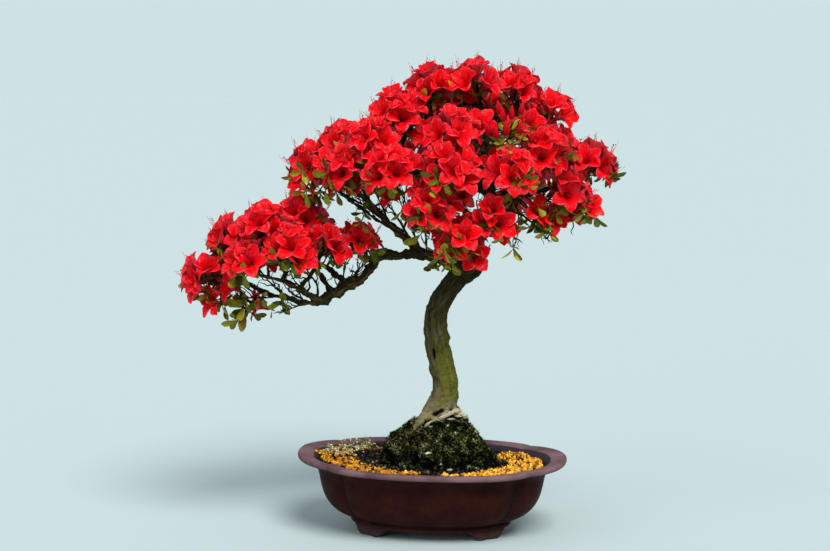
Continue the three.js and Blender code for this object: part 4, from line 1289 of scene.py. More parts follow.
# Wood: limbs swept along their routes, melted together, then roughened like bark
bark = {
    "sides": 20, "perSpan": 6, "voxel": 1.4, "even": 0.5, "evenTimes": 3, "limit": 6.5, "knobs": 1.3,
    "knobRadii": (12, 6), "relief": ((24.0, 1.2), (11.0, 1.6), (5.0, 1.1), (2.4, 0.4)), "fissure": 1.0,
    "fissureSize": 3.0, "stretch": 0.2, "lightFrom": (1, -0.3, 0), "limbFrom": (20, 50), "markDepth": 0.6,
    "markEdge": (0.15, 0.6), "grooveDepth": 0.4, "grooveEdge": (0.2, 0.7), "grooveWaver": (1.1, 5.0),
    "grooveBehind": 6,
}
# Marks on the wood: place, half width, half height, depth (a knob where it is negative) and darkness, the
# painted shade in the mark's hollow
woodMarks = [
    ((-1, -8, 227), 2.2, 9.0, 5.0, 1.0), ((19, -2, 247), 5.0, 6.0, -2.4, 0.0),
    ((-10, -6, 262), 5.0, 7.0, -1.2, 0.0), ((26, -4, 196), 7.0, 8.0, -1.6, 0.0),
    ((2, -10, 196), 3.0, 5.0, 1.2, 0.4), ((14, -6, 238), 1.8, 5.0, 1.0, 0.45),
    ((-9, 0, 206), 5.0, 6.0, -1.4, 0.0), ((22, -12, 152), 5.0, 4.0, 3.0, 0.9),
    ((6, -22, 152), 4.0, 5.0, 2.0, 0.5), ((-20, -22, 140), 3.0, 6.0, 1.4, 0.4),
    ((36, -10, 342), 6.0, 5.0, -2.0, 0.0), ((-111, -12, 318), 6.0, 5.0, -3.6, 0.0),
    ((-121, -14, 303), 4.0, 4.0, -1.8, 0.0), ((-84, -12, 336), 5.0, 4.0, -1.6, 0.0),
    ((-58, -10, 352), 5.0, 4.0, -1.8, 0.0), ((-136, -14, 292), 5.0, 5.0, -2.4, 0.0),
    ((-170, -14, 288), 4.0, 3.0, -1.6, 0.0), ((-24, -8, 348), 6.0, 5.0, -2.0, 0.0),
    ((36, -12, 326), 4.0, 4.0, -1.2, 0.0),
]
# Grooves and ridges along the wood: from, to, half width, depth (a ridge where it is negative) and darkness,
# the painted shade in the groove (bared pale wood where it is negative)
woodGrooves = [
    ((10, -20, 157), (2, -21, 153), 3.4, 3.0, 1.0), ((0, -12, 217), (5, -14, 186), 1.3, 1.1, 0.35),
    ((7, -11, 250), (2, -12, 222), 1.6, 0.9, 0.25), ((16, -12, 214), (24, -12, 176), 1.8, 0.9, 0.2),
    ((10, -14, 206), (15, -16, 172), 3.0, -1.2, 0.0), ((22, -8, 312), (8, -12, 284), 2.4, -1.4, 0.0),
    ((-6, -10, 284), (-8, -9, 240), 1.6, 0.9, 0.3), ((-4, -19, 160), (-30, -22, 130), 1.5, 1.2, 0.5),
    ((-8, -17, 152), (-26, -19, 126), 2.4, -1.4, 0.0), ((35, -14, 155), (28, -25, 158), 6.0, 0.0, -0.9),
    ((28, -25, 158), (11, -31, 151), 5.0, 0.0, -0.8), ((11, -31, 151), (-12, -32, 137), 4.5, 0.0, -0.7),
]


def grainFlow(points, limbs, nearest):
    # Where each point lies across and along its limb, shortened along it, so that the grain follows the wood
    lines = np.concatenate([line for line, _ in limbs])
    ahead = np.concatenate([np.gradient(line, axis=0) for line, _ in limbs])
    ahead /= norm(ahead, axis=1)[:, None]
    steps = [norm(np.diff(line, axis=0, prepend=line[:1]), axis=1) for line, _ in limbs]
    travel = np.concatenate([np.cumsum(step) for step in steps])
    offset = points - lines[nearest]
    run = np.sum(offset * ahead[nearest], axis=1)
    across = offset - run[:, None] * ahead[nearest]
    return across + np.outer((travel[nearest] + run) * bark["stretch"], (0, 0, 1))


def meltedLimbs(limbs, material):
    piece = sweptLimbs("woodLimbs", limbs, material, bark["sides"])
    melt = piece.modifiers.new("melt", "REMESH")
    melt.mode = "VOXEL"
    melt.voxel_size = bark["voxel"] * mm
    melt.use_smooth_shade = True
    even = piece.modifiers.new("even", "SMOOTH")
    even.factor = bark["even"]
    even.iterations = bark["evenTimes"]
    return settled(piece)


def readVectors(vertices, key):
    values = np.zeros(len(vertices) * 3)
    vertices.foreach_get(key, values)
    return values.reshape(-1, 3)


def nearestPoints(points, line):
    tree = kdtree.KDTree(len(line))
    for number, point in enumerate(line):
        tree.insert(point, number)
    tree.balance()
    return np.array([tree.find(point)[1] for point in points])


def carved(points, rise):
    # Marks and grooves sink the surface, and leave painted shade in the hollows or bare pale wood
    hollow, bare = np.zeros(len(points)), np.zeros(len(points))
    for at, wide, tall, deep, shadeAndBare in woodMarks:
        gap = points - inPot(at)
        flat = gap[:, 0] ** 2 + (gap[:, 1] * bark["markDepth"]) ** 2
        near = np.exp(-flat / wide ** 2 - (gap[:, 2] / tall) ** 2)
        rise = rise - deep * near
        hollow = np.maximum(hollow, shadeAndBare * smooth(near, *bark["markEdge"]))
    waver, waverSize = bark["grooveWaver"]
    uneven = 1 + waver * noiseAt(points, waverSize, 6.0)
    isInFront = points[:, 1] < bark["grooveBehind"]
    for begin, end, wide, deep, shadeAndBare in woodGrooves:
        begin, end = inPot(begin), inPot(end)
        along = np.clip((points - begin) @ (end - begin) / np.sum((end - begin) ** 2), 0, 1)
        gap = points - begin - along[:, None] * (end - begin)
        gap[:, 1] *= bark["grooveDepth"]
        near = np.exp(-np.sum(gap ** 2, axis=1) / (wide * uneven) ** 2) * isInFront
        rise = rise - deep * near
        hollow = np.maximum(hollow, shadeAndBare * smooth(near, *bark["grooveEdge"]))
        bare = np.maximum(bare, -shadeAndBare * smooth(near, *bark["grooveEdge"]))
    return rise, hollow, bare


def woodPiece(material):
    limbs = [sampledLimb(trunk["route"], trunk["radii"], bark["perSpan"])]
    limbs += [sampledLimb(route, radii, bark["perSpan"]) for route, radii in roots + branches]
    piece = meltedLimbs(limbs, material)
    mesh = piece.data
    points = readVectors(mesh.vertices, "co") / mm - potShift
    normals = readVectors(mesh.vertices, "normal")
    lines = np.concatenate([line for line, _ in limbs])
    nearest = nearestPoints(points, lines)
    thick = np.concatenate([radii for _, radii in limbs])[nearest]
    side = ((points - lines[nearest]) @ unit(inPot(bark["lightFrom"]))) / thick
    flow = grainFlow(points, limbs, nearest)
    rise = sum(noiseAt(points, size, size) * height for size, height in bark["relief"])
    rise -= np.abs(noiseAt(flow, bark["fissureSize"], 5.0)) * bark["fissure"]
    rise *= np.minimum(1.0, thick / bark["limit"]) * (1 + bark["knobs"] * smooth(thick, *bark["knobRadii"]))
    rise, hollow, bare = carved(points, rise)
    points += normals * rise[:, None]
    mesh.vertices.foreach_set("co", ((points + potShift) * mm).ravel())
    limb = smooth(-points[:, 0], *bark["limbFrom"])
    storeValues(mesh, {"hollow": hollow, "bare": bare, "limb": limb, "side": np.clip(side, -1, 1),
                       "flow": flow * mm})
    mesh.update()
    if not mesh.materials:
        mesh.materials.append(material)
    return piece


keptBend = 0.55  # how much of its last step aside a crooked line keeps


def crooked(start, end, draw, bend, steps=7):
    # A line that wavers between two points, as old azalea wood does
    line = []
    length = norm(end - start)
    shift = np.zeros(3)
    for k in range(steps + 1):
        share = k / steps
        if 0 < k < steps:
            shift = keptBend * shift + jitter(draw) * bend * length
        line.append(start + (end - start) * share + shift * math.sin(math.pi * share))
    return np.array(line)


def tapered(line, thick, thin):
    return line, np.linspace(thick, thin, len(line))


def crookedLimb(start, end, draw, form):
    line = crooked(start, end, draw, form["bend"], form.get("steps", 7))
    return tapered(line, *form["radii"])


def forkedLimbs(line, away, draw, form):
    # A twig that forks off a line, or none
    if draw() <= form["single"]:
        return []
    start = line[form["from"]]
    away = unit(away + jitter(draw) * form["stray"])
    return [crookedLimb(start, start + away * pick(draw, *form["length"]), draw, form)]


# What grows on a bunch's twig: a stalk to each bloom and a few bare spurs. From is a range of the twig's
# points; other pairs are the least and how much a draw adds, and radii run from foot to tip
stalk = {"foot": 17, "from": (3, 6), "bend": 0.12, "radii": (1.5, 0.75)}
spur = {"count": 3, "from": (2, 7), "length": (14, 16), "bend": 0.2, "radii": (1.2, 0.45), "droop": 0.75}


def twigLimbs(places):
    limbs = []
    for index, bunch in enumerate(bunches):
        draw = seededDraw(index + 801)
        points, thick = twigRoute(bunch)
        line = sampled(np.array(points), twig["steps"])
        waver = np.array([jitter(draw) for _ in line]) * twig["waver"]
        waver[0] = waver[-1] = 0
        limbs.append(tapered(line + waver, thick, twig["tip"]))
        for place in places:
            if place["bunch"] != index:
                continue
            foot = place["at"] - place["axis"] * stalk["foot"] * place["size"] / bloomRadius
            start = line[int(pick(draw, *stalk["from"]))]
            limbs.append(crookedLimb(start, foot, draw, stalk))
        for _ in range(spur["count"]):
            away = unit(jitter(draw, spur["droop"]))
            start = line[int(pick(draw, *spur["from"]))]
            limbs.append(crookedLimb(start, start + away * pick(draw, *spur["length"]), draw, spur))
    return limbs


# Thin limbs that show against the light: route in the tree's frame and thickness at their foot
fans = [
    ([[-56, -7, 386], [-76, -10, 396], [-97, -12, 411], [-118, -14, 427]], 2.8),
    ([[-66, -8, 396], [-87, -10, 410], [-108, -12, 420], [-128, -14, 431]], 2.2),
    ([[-72, -9, 403], [-83, -10, 414], [-98, -12, 427], [-116, -14, 441]], 2.2),
    ([[-30, -6, 366], [-50, -14, 402], [-68, -22, 424]], 2.2),
    ([[-54, -8, 383], [-69, 4, 413], [-91, 10, 449]], 2.0),
    ([[-20, -6, 358], [-34, -22, 392], [-52, -36, 432]], 2.4),
    ([[-72, -8, 394], [-96, 8, 410], [-136, 16, 440]], 1.8),
    ([[-12, -6, 352], [-14, -34, 380], [-22, -60, 404]], 2.2),
    ([[-44, -6, 372], [-36, 10, 404], [-50, 22, 436]], 2.0),
    ([[-84, -12, 404], [-110, -30, 420], [-140, -34, 452]], 1.8),
    ([[73, -6, 412], [104, -14, 406], [128, -20, 388], [139, -24, 378]], 2.0),
    ([[78, -6, 433], [116, -20, 428], [150, -30, 416]], 1.8),
    ([[66, -4, 398], [88, -28, 386], [96, -40, 372]], 1.6),
    ([[124, -10, 434], [146, -24, 418], [168, -26, 404]], 1.6),
    ([[-164, -14, 290], [-180, -26, 284], [-190, -30, 283]], 1.4),
    ([[-146, -14, 292], [-150, -30, 318], [-164, -44, 338]], 2.0),
    ([[-132, -14, 300], [-118, -30, 322], [-112, -44, 344]], 1.9),
    ([[-180, -14, 294], [-196, -34, 308], [-214, -48, 330]], 1.9),
    ([[-200, -12, 297], [-222, -30, 296], [-244, -40, 300]], 1.7),
    ([[-119, -12, 309], [-96, -22, 330], [-84, -26, 346]], 1.7),
    ([[-150, -14, 291], [-172, 10, 306], [-190, 26, 330]], 1.8),
]
# The side twigs and forks of these limbs; pairs are the least and how much a draw adds, radii run from foot
# to tip, and thickness is the least, swing and rhythm of the knots
fan = {
    "steps": 14, "waver": 1.6, "tip": 0.7, "thickness": (0.9, 0.25, 1.7), "sides": range(4, 15, 2),
    "stray": 12, "droop": 0.3, "length": (9, 20), "bend": 0.2, "radii": (1.1, 0.4),
    "fork": {"single": 0.5, "from": 4, "stray": 1.8, "length": (5, 9), "bend": 0.2, "radii": (0.7, 0.3)},
}


def fanLimbs():
    limbs = []
    steps = fan["steps"]
    least, swing, rhythm = fan["thickness"]
    for number, (route, thick) in enumerate(fans):
        draw = seededDraw(number + 401)
        line = sampled(np.array([inPot(p) for p in route]), steps)
        waver = np.cumsum(np.array([jitter(draw) for _ in line]), axis=0) * fan["waver"]
        line += waver - waver[0]
        knots = least + swing * np.sin(np.arange(steps + 1) * rhythm + number)
        limbs.append((line, np.linspace(thick, fan["tip"], steps + 1) * knots))
        for k in fan["sides"]:
            away = unit(line[min(k + 1, steps)] - line[k - 1] + jitter(draw, fan["droop"]) * fan["stray"])
            length = pick(draw, *fan["length"])
            side = crooked(line[k], line[k] + away * length, draw, fan["bend"])
            limbs.append(tapered(side, *fan["radii"]))
            limbs += forkedLimbs(side, away, draw, fan["fork"])
    return limbs


# Thin dry twigs in the open parts of the crown, with the same kinds of pairs
dryTwig = {
    "count": 60, "seed": 5, "rise": (0.1, 0.7), "length": (20, 34), "bend": 0.26, "steps": 8,
    "thickest": 1.8, "tip": 0.5,
    "fork": {"single": 0.4, "from": 4, "stray": 1.6, "length": (12, 16), "bend": 0.3, "radii": (0.9, 0.4)},
}


def bareTwigs():
    draw = seededDraw(dryTwig["seed"])
    limbs = []
    for _ in range(dryTwig["count"]):
        start, thick = woodLine[int(draw() * len(woodLine))]
        away = unit(np.array([sway(draw), sway(draw), pick(draw, *dryTwig["rise"])]))
        end = start + away * pick(draw, *dryTwig["length"])
        line = crooked(start, end, draw, dryTwig["bend"], dryTwig["steps"])
        limbs.append(tapered(line, min(thick, dryTwig["thickest"]), dryTwig["tip"]))
        limbs += forkedLimbs(line, away, draw, dryTwig["fork"])
    return limbs


# Blooms: five broad petals on a funnel, each petal a thin closed blade
petal = {
    "count": 5, "columns": (-1, -0.56, 0, 0.56, 1), "rows": (0, 0.22, 0.42, 0.6, 0.78, 0.92, 1),
    "length": 32.2, "lengths": (0.94, 0.12), "halfWidth": 9.7, "widths": (0.92, 0.16), "thickness": 0.45,
    "widest": 0.6, "end": 1.02, "point": 2.0, "round": 0.66, "throat": 2.2, "foot": -18.5, "startAngle": 9,
    "tube": 0.3, "flareBefore": 0.12, "flareAfter": 0.32, "curlOver": (0.6, 1.0), "freeFrom": 0.75,
    "samples": 90, "overlap": 1.06, "flatness": 0.7, "tipDroop": 1.4, "ripples": (3.4, 5), "cupPower": 1.6,
    "slant": 0.9, "midrib": (0.7, 0.2), "phase": 6.28, "upright": 26, "turnAside": 0.14, "openAside": 12,
    "moreCurl": 24,
}
# How far each shape of bloom opens (degrees from its axis), curls back, cups and ruffles
bloomShapes = [
    {"open": 42, "curl": 20, "cup": 0.30, "ruffle": 1.3, "seed": 1},
    {"open": 35, "curl": 28, "cup": 0.34, "ruffle": 1.5, "seed": 2},
    {"open": 50, "curl": 24, "cup": 0.22, "ruffle": 1.6, "seed": 3},
    {"open": 28, "curl": 24, "cup": 0.40, "ruffle": 1.1, "seed": 4},
    {"open": 40, "curl": 36, "cup": 0.24, "ruffle": 1.8, "seed": 5},
    {"open": 46, "curl": 14, "cup": 0.30, "ruffle": 1.4, "seed": 6},
    {"open": 24, "curl": 36, "cup": 0.36, "ruffle": 1.3, "seed": 7},
]
# Blooms that face the sky are seen from the side, as deeper funnels
uprightShapes = [
    {"open": 20, "curl": 32, "cup": 0.36, "ruffle": 1.3, "seed": 8},
    {"open": 27, "curl": 24, "cup": 0.34, "ruffle": 1.5, "seed": 9},
    {"open": 15, "curl": 40, "cup": 0.32, "ruffle": 1.2, "seed": 10},
]


def petalGrid(turn, openTo, curl, cup, ruffle, draw):
    form = petal
    alongs = np.array(form["rows"], float)
    columns = np.array(form["columns"], float)
    length = form["length"] * pick(draw, *form["lengths"])
    wide = form["halfWidth"] * pick(draw, *form["widths"])
    wavePhase = draw() * form["phase"]
    fine = np.linspace(0, 1, form["samples"])
    start, tube = form["startAngle"], form["tube"]
    flare = smooth(fine, tube - form["flareBefore"], tube + form["flareAfter"])
    angle = np.radians(start + (openTo - start) * flare + curl * smooth(fine, *form["curlOver"]))
    reach = form["throat"] + np.concatenate([[0], np.cumsum(np.sin(angle[1:]))]) * length / (len(fine) - 1)
    height = form["foot"] + np.concatenate([[0], np.cumsum(np.cos(angle[1:]))]) * length / (len(fine) - 1)
    acrossRipple, alongRipple = form["ripples"]
    ribDeep, ribWide = form["midrib"]
    grid = np.zeros((len(alongs), len(columns), 3))
    for row, along in enumerate(alongs):
        r = np.interp(along, fine, reach)
        h = np.interp(along, fine, height)
        limb = smooth(along, tube, form["freeFrom"])
        closed = r * math.tan(math.pi / form["count"]) * form["overlap"]
        end = max(0.0, (along - form["widest"]) / (form["end"] - form["widest"]))
        half = closed * (1 - limb) + wide * limb
        half = min(half, wide) * (1 - end ** form["point"]) ** form["round"]
        x = columns * half
        wrap = 1 - form["flatness"] * limb
        bend = turn + wrap * x / r
        rest = (1 - wrap) * x
        r = r - form["tipDroop"] * columns ** 2 * end
        wave = np.sin(wavePhase + columns * acrossRipple + along * alongRipple)
        ripple = ruffle * wave * limb * np.abs(columns)
        cupped = cup * np.abs(x) ** form["cupPower"] / 4 * limb
        lift = h + cupped + form["slant"] * columns * limb * (1 - end) + ripple
        lift = lift - ribDeep * np.exp(-(columns / ribWide) ** 2) * limb
        grid[row, :, 0] = r * np.cos(bend) - rest * np.sin(bend)
        grid[row, :, 1] = r * np.sin(bend) + rest * np.cos(bend)
        grid[row, :, 2] = lift
    return grid, alongs, columns


def bladeMesh(grid, alongs, columns, thickness, first):
    # Front and back share their edge, so the blade is closed and thins out to it
    rows, width = grid.shape[:2]
    tangentA = np.gradient(grid, axis=0)
    tangentB = np.gradient(grid, axis=1)
    normal = np.cross(tangentB, tangentA)
    normal /= norm(normal, axis=2)[:, :, None] + 1e-9
    front = grid.reshape(-1, 3)
    inner = [(i, j) for i in range(1, rows - 1) for j in range(1, width - 1)]
    backIndex = {(i, j): first + rows * width + k for k, (i, j) in enumerate(inner)}
    back = np.array([grid[i, j] + normal[i, j] * thickness for i, j in inner])
    faces = []
    for i in range(rows - 1):
        for j in range(width - 1):
            corners = [(i, j), (i, j + 1), (i + 1, j + 1), (i + 1, j)]
            faces.append(tuple(first + a * width + b for a, b in corners)[::-1])
            faces.append(tuple(backIndex.get((a, b), first + a * width + b) for a, b in corners))
    behind = np.array([0.5 if i in (0, rows - 1) or j in (0, width - 1) else 1.0
                       for i in range(rows) for j in range(width)] + [0.0] * len(inner))
    values = {
        "along": np.concatenate([np.repeat(alongs, width), [alongs[i] for i, _ in inner]]),
        "across": np.concatenate([np.tile(columns, rows), [columns[j] for _, j in inner]]),
        "behind": behind,
    }
    return np.concatenate([front, back]), faces, values


def bloomShape(form):
    draw = seededDraw(form["seed"] + 70)
    points, faces, blades = [], [], []
    for k in range(petal["count"]):
        turn = k * fullTurn / petal["count"] + sway(draw, petal["turnAside"])
        low = 0.5 - 0.5 * math.cos(turn)  # the petals away from the upper one fold back further
        openTo = form["open"] + petal["upright"] * low + sway(draw, petal["openAside"])
        curl = form["curl"] + petal["moreCurl"] * low * draw()
        grid, along, column = petalGrid(turn, openTo, curl, form["cup"], form["ruffle"], draw)
        blade, quads, values = bladeMesh(grid, along, column, -petal["thickness"], len(points))
        points += list(blade)
        faces += quads
        blades.append(values)
    return points, faces, {key: np.concatenate([values[key] for values in blades]) for key in blades[0]}


def tubeMesh(line, radii, sides, first):
    points = []
    for k, centre in enumerate(line):
        ahead = unit(line[min(k + 1, len(line) - 1)] - line[max(k - 1, 0)])
        side, up = twistOf(ahead)
        points += [centre + around(side, up, fullTurn * s / sides) * radii[k] for s in range(sides)]
    return points, cappedFaces(len(line), sides, first)


# Stamens and the longer pistil, each a thin tube with a knob of pollen
stamen = {
    "count": 5, "reach": 32, "reaches": (0.8, 0.3), "pistil": 1.2, "aside": 1.1, "steps": 4, "sides": 3,
    "radius": 0.24, "taper": (1.15, 0.4), "start": -12, "slow": 0.16, "out": (1.2, 5), "bulge": (1.7, 0.2),
    "shapes": 4, "lean": 0.55, "hook": (7.5, 2.6), "fan": 3.5, "colourEnd": 0.6, "anther": 0.75,
    "stigma": 0.6, "knob": ((1, 0, 0), (0, 0.8, 0), (-1, 0, 0), (0, -0.8, 0), (0, 0, 1.2), (0, 0, -0.8)),
}


def stamenLine(reach, spread):
    line = []
    for step in range(stamen["steps"] + 1):
        share = step / stamen["steps"]
        rise = stamen["start"] + reach * share * (1 - stamen["slow"] * share)
        out = stamen["out"][0] + stamen["out"][1] * math.sin(share * stamen["bulge"][0]) * (
            stamen["bulge"][1] + share)
        hook = stamen["hook"][0] * share ** stamen["hook"][1]
        line.append(np.array([-out * math.cos(spread) * stamen["lean"] + hook,
                              out * math.sin(spread) + stamen["fan"] * spread * share, rise]))
    return line


def stamenShape(seed):
    # Filaments that leave the throat together and curve up towards the upper petal
    draw = seededDraw(seed + 90)
    steps, sides = stamen["steps"], stamen["sides"]
    points, faces, part = [], [], []
    for k in range(stamen["count"] + 1):
        isPistil = k == stamen["count"]
        spread = sway(draw, stamen["aside"])
        reach = stamen["reach"] * (stamen["pistil"] if isPistil else pick(draw, *stamen["reaches"]))
        line = stamenLine(reach, spread)
        radii = [stamen["radius"] * (stamen["taper"][0] - stamen["taper"][1] * s / steps)
                 for s in range(steps + 1)]
        tube, quads = tubeMesh(line, radii, sides, len(points))
        points += tube
        faces += quads
        part += [stamen["colourEnd"] * (n // sides) / steps for n in range(len(tube))]
        first = len(points)
        size = stamen["anther"] * (stamen["stigma"] if isPistil else 1)
        points += [line[-1] + np.array(p) * size for p in stamen["knob"]]
        part += [1.0] * len(stamen["knob"])
        for a, b in ((0, 1), (1, 2), (2, 3), (3, 0)):
            faces += [(first + a, first + b, first + 4), (first + b, first + a, first + 5)]
    return points, faces, {"part": np.array(part)}


# Green stalk, a small cup and the slim neck of the funnel: height, radius and colour of each ring
calyx = {
    "sides": 5,
    "rings": [(-26, 0.75, 0.0), (-22, 0.8, 0.0), (-19.5, 1.1, 0.1), (-18.2, 2.4, 0.2), (-16.5, 2.9, 0.3),
              (-13, 3.0, 0.6)],
}


def calyxShape():
    heights, radii, colours = zip(*calyx["rings"])
    line = [np.array([0, 0, height], float) for height in heights]
    points, faces = tubeMesh(line, radii, calyx["sides"], 0)
    return points, faces, {"along": np.repeat(colours, calyx["sides"])}


# Closed buds, ridged where the rolled petals meet: height and radius of each ring
bud = {
    "rings": [(-9, 0.8), (-6, 1.5), (-3.5, 2.7), (-1, 3.3), (3.5, 3.8), (8.5, 3.3), (13, 2.2), (16, 1.2),
              (18.5, 0.3)],
    "sides": 10, "twist": 0.12, "ridge": 0.2, "ridgeFrom": 2, "uneven": (0.95, 0.1),
}


def budShape(seed):
    draw = seededDraw(seed + 30)
    rings, sides = bud["rings"], bud["sides"]
    points, along = [], []
    for k, (height, radius) in enumerate(rings):
        for s in range(sides):
            turn = fullTurn * s / sides + bud["twist"] * k
            size = radius * (1 + bud["ridge"] * (1 if s % 2 else -1) * (k > bud["ridgeFrom"]))
            points.append((size * math.cos(turn) * pick(draw, *bud["uneven"]), size * math.sin(turn), height))
            along.append(k / (len(rings) - 1))
    return points, cappedFaces(len(rings), sides), {"along": np.array(along)}


def bloomTurn(axis, spin):
    # Axis along local +Z; local +X, the upper petal, is the petal place nearest to the top
    side, up = twistOf(axis)
    step = fullTurn / petal["count"]
    turn = math.pi / 2 + ((spin - math.pi / 2 + step / 2) % step - step / 2)
    x = around(side, up, turn)
    return np.stack([x, np.cross(axis, x), axis], 1)


# Leaves: small and round-tipped, widest near the end, in whorls
leaf = {
    "length": 22, "halfWidth": 5.1, "thickness": 0.6, "rows": 5, "columns": (-1, -0.5, 0, 0.5, 1),
    "crowding": 1.35, "fold": (0.25, 0.3), "droop": (2.0, 4.0), "twist": 0.6, "stem": (0.1, 0.9),
    "widest": 0.66, "tip": 0.36, "round": 2.2, "corner": 0.8, "shapes": 6,
}


def leafShape(seed):
    draw = seededDraw(seed + 20)
    columns = np.array(leaf["columns"], float)
    alongs = 1 - np.linspace(1, 0, leaf["rows"]) ** leaf["crowding"]
    fold = pick(draw, *leaf["fold"])
    droop = pick(draw, *leaf["droop"])
    twist = sway(draw, leaf["twist"])
    grid = np.zeros((len(alongs), len(columns), 3))
    for row, along in enumerate(alongs):
        half = leaf["halfWidth"] * (leaf["stem"][0] + leaf["stem"][1] * smooth(along, 0.0, leaf["widest"]))
        end = max(0.0, (along - leaf["widest"]) / leaf["tip"])
        half *= math.sqrt(max(0.0, 1 - end ** leaf["round"]))
        x = columns * half
        grid[row, :, 0] = along * leaf["length"] - leaf["corner"] * columns ** 2 * end
        grid[row, :, 1] = x
        grid[row, :, 2] = np.abs(x) * fold - droop * along ** 2 + x * twist * along
    points, faces, values = bladeMesh(grid, alongs, columns, leaf["thickness"], 0)
    return points, [face[::-1] for face in faces], values


def leafTurn(direction, up):
    # Local +X along the leaf, local +Z out of its upper face
    z = up - direction * np.dot(up, direction)
    z = unit(z) if norm(z) > 1e-3 else twistOf(direction)[1]
    return np.stack([direction, np.cross(z, direction), z], 1)


# Whorls of leaves: how far the leaves open from the tip on, the range of their tints, and how far back
# along the stem the last one stands
shootWhorl = {"opening": (0.6, 0.9), "tint": (0.0, 1.0), "back": 10}
sprigWhorl = {"opening": (0.35, 0.85), "tint": (0.35, 1.0), "back": 5}
bloomWhorl = {"opening": (1.2, 0.5), "tint": (0.0, 0.8), "back": 5}
bunchWhorl = {"opening": (0.5, 0.9), "tint": (0.0, 1.0), "back": 5}
whorlForm = {"uneven": 0.2, "sizes": (0.8, 0.35)}


def whorl(centre, axis, count, size, draw, form):
    side, up = twistOf(axis)
    opening, more = form["opening"]
    palest, darkest = form["tint"]
    leaves = []
    for k in range(count):
        fromTip = k / count
        turn = k * goldenAngle + draw()
        angle = opening + more * fromTip + whorlForm["uneven"] * draw()
        direction = axis * math.cos(angle) + around(side, up, turn) * math.sin(angle)
        leaves.append({
            "at": centre - axis * form["back"] * fromTip, "turn": leafTurn(direction, axis),
            "kind": int(draw() * leaf["shapes"]), "grow": size * pick(draw, *whorlForm["sizes"]),
            "tint": palest + (darkest - palest) * draw()})
    return leaves


# Sprigs of leaves that show under and beside the blooms: right, back, up and size
sprigs = [
    (-246, -32, 268, 0.85), (-267, -30, 288, 0.7), (-235, -34, 292, 0.7), (-189, -30, 292, 0.65),
    (-215, -26, 297, 0.6), (-284, -30, 300, 0.7), (-261, -20, 296, 0.6), (-21, -88, 383, 0.95),
    (8, -116, 366, 1.1), (17, -114, 352, 1.15), (92, -88, 368, 1.1), (82, -80, 384, 0.8),
    (-43, -84, 411, 0.8), (126, -50, 396, 0.8), (138, -46, 386, 0.9), (145, -50, 409, 0.8),
    (181, -50, 412, 0.9), (194, -44, 407, 0.9), (107, -56, 443, 0.75), (90, -60, 430, 0.75),
    (162, -50, 434, 0.8), (150, -44, 419, 0.8), (123, -54, 416, 0.8), (104, -40, 404, 0.7),
    (-162, -44, 430, 0.9), (-138, -44, 431, 0.8), (-113, -44, 438, 0.8), (-93, -50, 441, 0.7),
    (-93, -40, 393, 0.7), (-166, -46, 456, 0.75), (-124, -36, 428, 0.7), (74, -98, 494, 0.5),
    (87, -98, 490, 0.5), (99, -96, 502, 0.45), (66, -94, 499, 0.45), (110, -90, 512, 0.4),
    (60, 96, 440, 0.9), (-10, 100, 436, 0.9), (110, 80, 424, 0.9), (-84, 60, 446, 0.8),
    (-200, 40, 330, 0.8), (-160, 50, 336, 0.8),
]


# The stems that carry leaves: on sprigs, in shoots, at the feet of blooms and in bunches. Pairs are the
# least and how much a draw adds, and radii run from foot to tip
sprig = {
    "above": 8, "aside": (-0.15, 0.3), "forward": -0.35, "down": (-0.25, -0.3), "bend": 0.08,
    "radii": (1.2, 0.6), "leaves": 4,
}
shootForm = {
    "middle": 0.55, "arch": 0.1, "steps": 8, "radii": (1.3, 0.8), "large": 22, "size": 26, "leaves": 9,
    "fewLeaves": 4, "sideShoots": 2,
}
sideShoot = {
    "stray": 1.8, "down": 9, "reach": (9, 8), "bend": 0.1, "steps": 4, "radii": (0.9, 0.6), "leaves": 5,
    "size": 0.8,
}
bloomFoot = {"level": 0.35, "share": 0.55, "upShare": 0.2, "down": (18, 4), "leaves": 3, "size": (0.6, 0.2)}
bunchStem = {
    "lowLeft": 400, "lowRight": 478, "count": 2, "lowCount": 5, "down": (-0.35, -0.5), "stray": 1.3,
    "outward": 0.4, "reach": (0.6, 0.3), "bend": 0.12, "steps": 5, "radii": (1.1, 0.6), "leaves": 4,
    "size": (0.7, 0.2),
}


def sprigLeaves():
    leaves, stems = [], []
    for number, (right, back, up, size) in enumerate(sprigs):
        draw = seededDraw(number + 1101)
        tip = inPot((right, back, up))
        root = nearestWood(tip + (0, 0, sprig["above"]), 0)[0]
        lean = (pick(draw, *sprig["aside"]), sprig["forward"], pick(draw, *sprig["down"]))
        axis = unit(unit(tip - root) + lean)
        stems.append(crookedLimb(root, tip, draw, sprig))
        leaves += whorl(tip, axis, sprig["leaves"] + int(draw() * 2), size, draw, sprigWhorl)
    return leaves, stems


